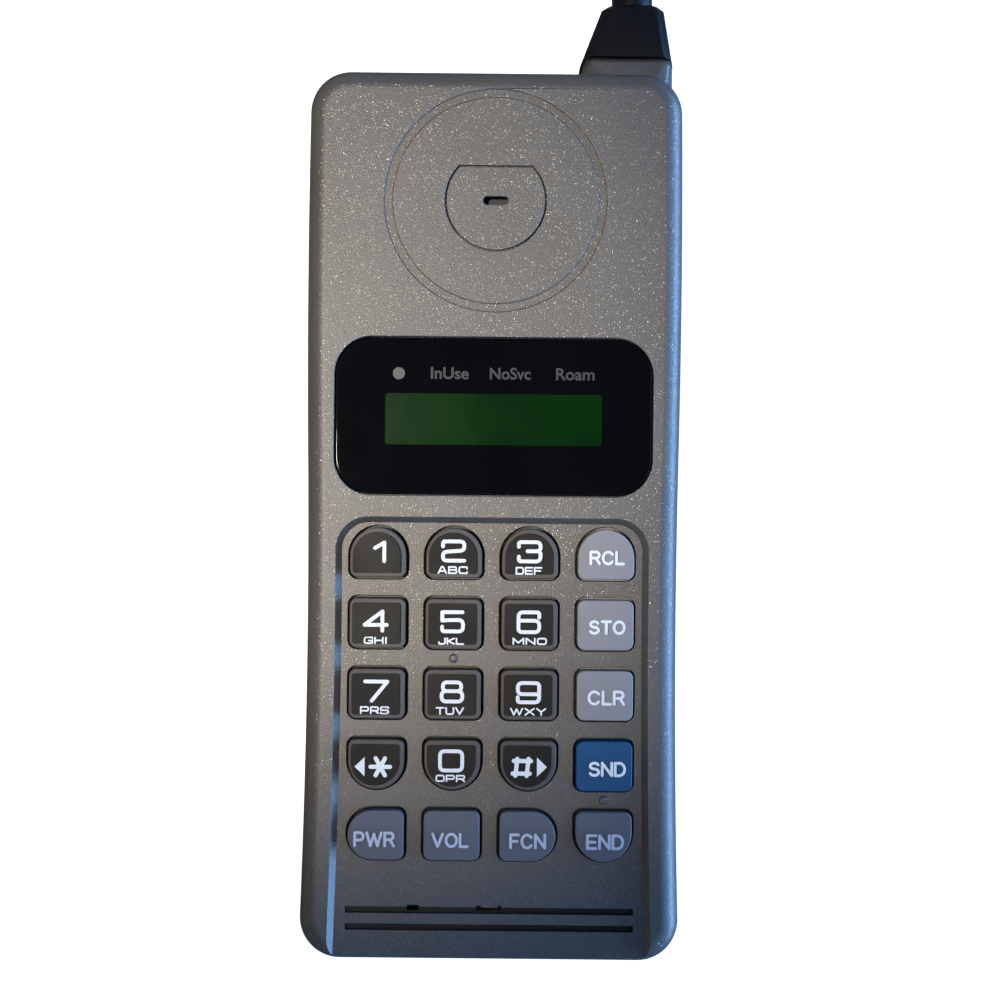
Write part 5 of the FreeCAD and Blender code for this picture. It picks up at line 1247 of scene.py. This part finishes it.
@dataclass
class Studio:
    """A pale floor, soft lamps and a camera straight above the keypad, with the camera's sizes in mm."""

    foot: Point = (1.2, 2.7)
    height: float = 311.0
    view_width: float = 166.0
    view_distance: float = 275.0
    sensor: float = 36.0
    lean: float = 0.58
    beam: float = 10.6
    beam_edge: float = 0.25
    beam_source: float = 0.03
    zenith: Color = (0.05, 0.055, 0.07)
    left_horizon: Color = (0.5, 0.48, 0.44)
    right_horizon: Color = (0.2, 0.36, 0.6)
    near_horizon: Color = (0.3, 0.36, 0.46)
    right_band: Point = (-0.5, 0.5)
    near_band: Point = (-0.5, -0.85)
    high_band: Point = (0.12, 0.42)
    floor_size: float = 6.0
    floor_drop: float = 0.0002
    floor_glow: float = 0.92
    floor_lit: Color = (0.3, 0.3, 0.3)
    floor_seen: Color = (0.8, 0.8, 0.8)

    def build(self) -> None:
        """Set up the floor, the lamps, the world and the camera."""
        self.add_floor()
        self.add_spot("warm_spot", (-0.22, 0.02, 0.9), (-0.028, 0.026, 0.036), 24.5, (1.0, 0.91, 0.76))
        self.add_lamp("left_strip", (-0.55, 0.0, 0.85), (0.6, 0.06), 0.3, (1.0, 0.84, 0.64))
        self.add_lamp("right_window", (0.6, -0.05, 0.5), (0.7, 0.6), 2.4, (0.17, 0.43, 1.0))
        self.add_lamp("right_low", (0.7, -0.02, 0.11), (0.9, 0.2), 12.0, (0.25, 0.52, 1.0))
        self.add_lamp("near_fill", (0.0, -0.6, 0.6), (0.5, 0.2), 0.5, (0.25, 0.5, 1.0))
        self.add_world()
        self.add_camera()
        bpy.context.scene.view_settings.view_transform = "Standard"

    def add_world(self) -> None:
        """Surround the phone with a dim room, lighter and tinted toward the horizon."""
        world = bpy.data.worlds.new("studio")
        bpy.context.scene.world = world
        world.use_nodes = True
        shader = Shader(world.node_tree)
        way = shader.add("ShaderNodeTexCoord").outputs["Generated"]
        parts = shader.add("ShaderNodeSeparateXYZ", {0: way}).outputs
        right = shader.spread(parts["X"], *self.right_band, 0.0, 1.0)
        near = shader.spread(parts["Y"], *self.near_band, 0.0, 1.0)
        high = shader.spread(parts["Z"], *self.high_band, 0.0, 1.0)
        horizon = shader.mix(right, self.left_horizon, self.right_horizon)
        room = shader.mix(high, shader.mix(near, horizon, self.near_horizon), self.zenith)
        seen = shader.add("ShaderNodeLightPath").outputs["Is Camera Ray"]
        color = shader.mix(seen, room, (1.0, 1.0, 1.0))
        shader.set(world.node_tree.nodes["Background"], {"Color": color, "Strength": 1.0})

    def add_floor(self) -> None:
        """Lay a wide floor that looks white to the camera, keeps the shadow and hardly lights the phone."""
        bpy.ops.mesh.primitive_plane_add(size=self.floor_size, location=(0, 0, -self.floor_drop))
        floor = bpy.context.object
        floor.name = "floor"
        material = bpy.data.materials.new("pale_floor")
        material.use_nodes = True
        shader = Shader(material.node_tree)
        seen = shader.add("ShaderNodeLightPath").outputs["Is Camera Ray"]
        shader.set(material.node_tree.nodes["Principled BSDF"], {
            "Base Color": shader.mix(seen, self.floor_lit, self.floor_seen),
            "Roughness": 0.9,
            "Specular IOR Level": 0.0,
            "Emission Color": (1.0, 1.0, 1.0),
            "Emission Strength": shader.spread(seen, 0.0, 1.0, 0.0, self.floor_glow),
        })
        floor.data.materials.append(material)

    def hang(self, light: bpy.types.Light, spot: Spot, aim: Spot, power: float, color: Color) -> None:
        """Hang a lamp and turn it to a point.

        Args:
            light: The lamp's light.
            spot: Its place in metres.
            aim: The point it faces, in metres.
            power: Its power in watts.
            color: Its colour.
        """
        light.energy = power
        light.color = color
        lamp = bpy.data.objects.new(light.name, light)
        lamp.location = spot
        lamp.rotation_euler = (Vector(aim) - Vector(spot)).to_track_quat("-Z", "Y").to_euler()
        bpy.context.scene.collection.objects.link(lamp)

    def add_spot(self, name: str, spot: Spot, aim: Spot, power: float, color: Color) -> None:
        """Hang a spot lamp whose beam fades out toward the phone's lower end."""
        light = bpy.data.lights.new(name, "SPOT")
        light.shadow_soft_size = self.beam_source
        light.spot_size = math.radians(self.beam)
        light.spot_blend = self.beam_edge
        self.hang(light, spot, aim, power, color)

    def add_lamp(self, name: str, spot: Spot, size: Point, power: float, color: Color) -> None:
        """Hang a rectangular soft lamp of a size in metres that faces the phone."""
        light = bpy.data.lights.new(name, "AREA")
        light.shape = "RECTANGLE"
        light.size, light.size_y = size
        self.hang(light, spot, (0.0, 0.0, 0.0), power, color)

    def add_camera(self) -> None:
        """Put the camera straight above, turned by the lean of the photographed phone."""
        data = bpy.data.cameras.new("camera")
        data.sensor_width = self.sensor
        data.lens = self.sensor * self.view_distance / self.view_width
        data.clip_start = 0.01
        camera = bpy.data.objects.new("camera", data)
        camera.location = (self.foot[0] * MM, self.foot[1] * MM, self.height * MM)
        camera.rotation_euler = (0, 0, math.radians(self.lean))
        bpy.context.scene.collection.objects.link(camera)
        bpy.context.scene.camera = camera


def dress_hidden_nodes() -> None:
    """Give every CAD node the finish of its material slot."""
    for name, node in frame["nodes"].items():
        dress(node, NODE_FINISHES[slot_of(name)])


def main() -> None:
    """Build the phone, dress it and set up the studio."""
    logging.basicConfig(level=logging.INFO, format="%(name)s %(message)s")
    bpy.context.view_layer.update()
    dress_hidden_nodes()
    form = CaseForm()
    keypad = Keypad(form)
    FrontShell(form).build(keypad)
    keypad.build()
    KeyPrinting(keypad).build()
    DisplayLens(form).build()
    EarInsert(form).build()
    for name in ("rear_housing", "battery_tray", "battery_lid"):
        carry_over(name, CASE_PAINT)
    for name in ("antenna_boot", "antenna_sheath"):
        carry_over(name, RUBBER)
    Studio().build()


if __name__ == "__main__":
    main()
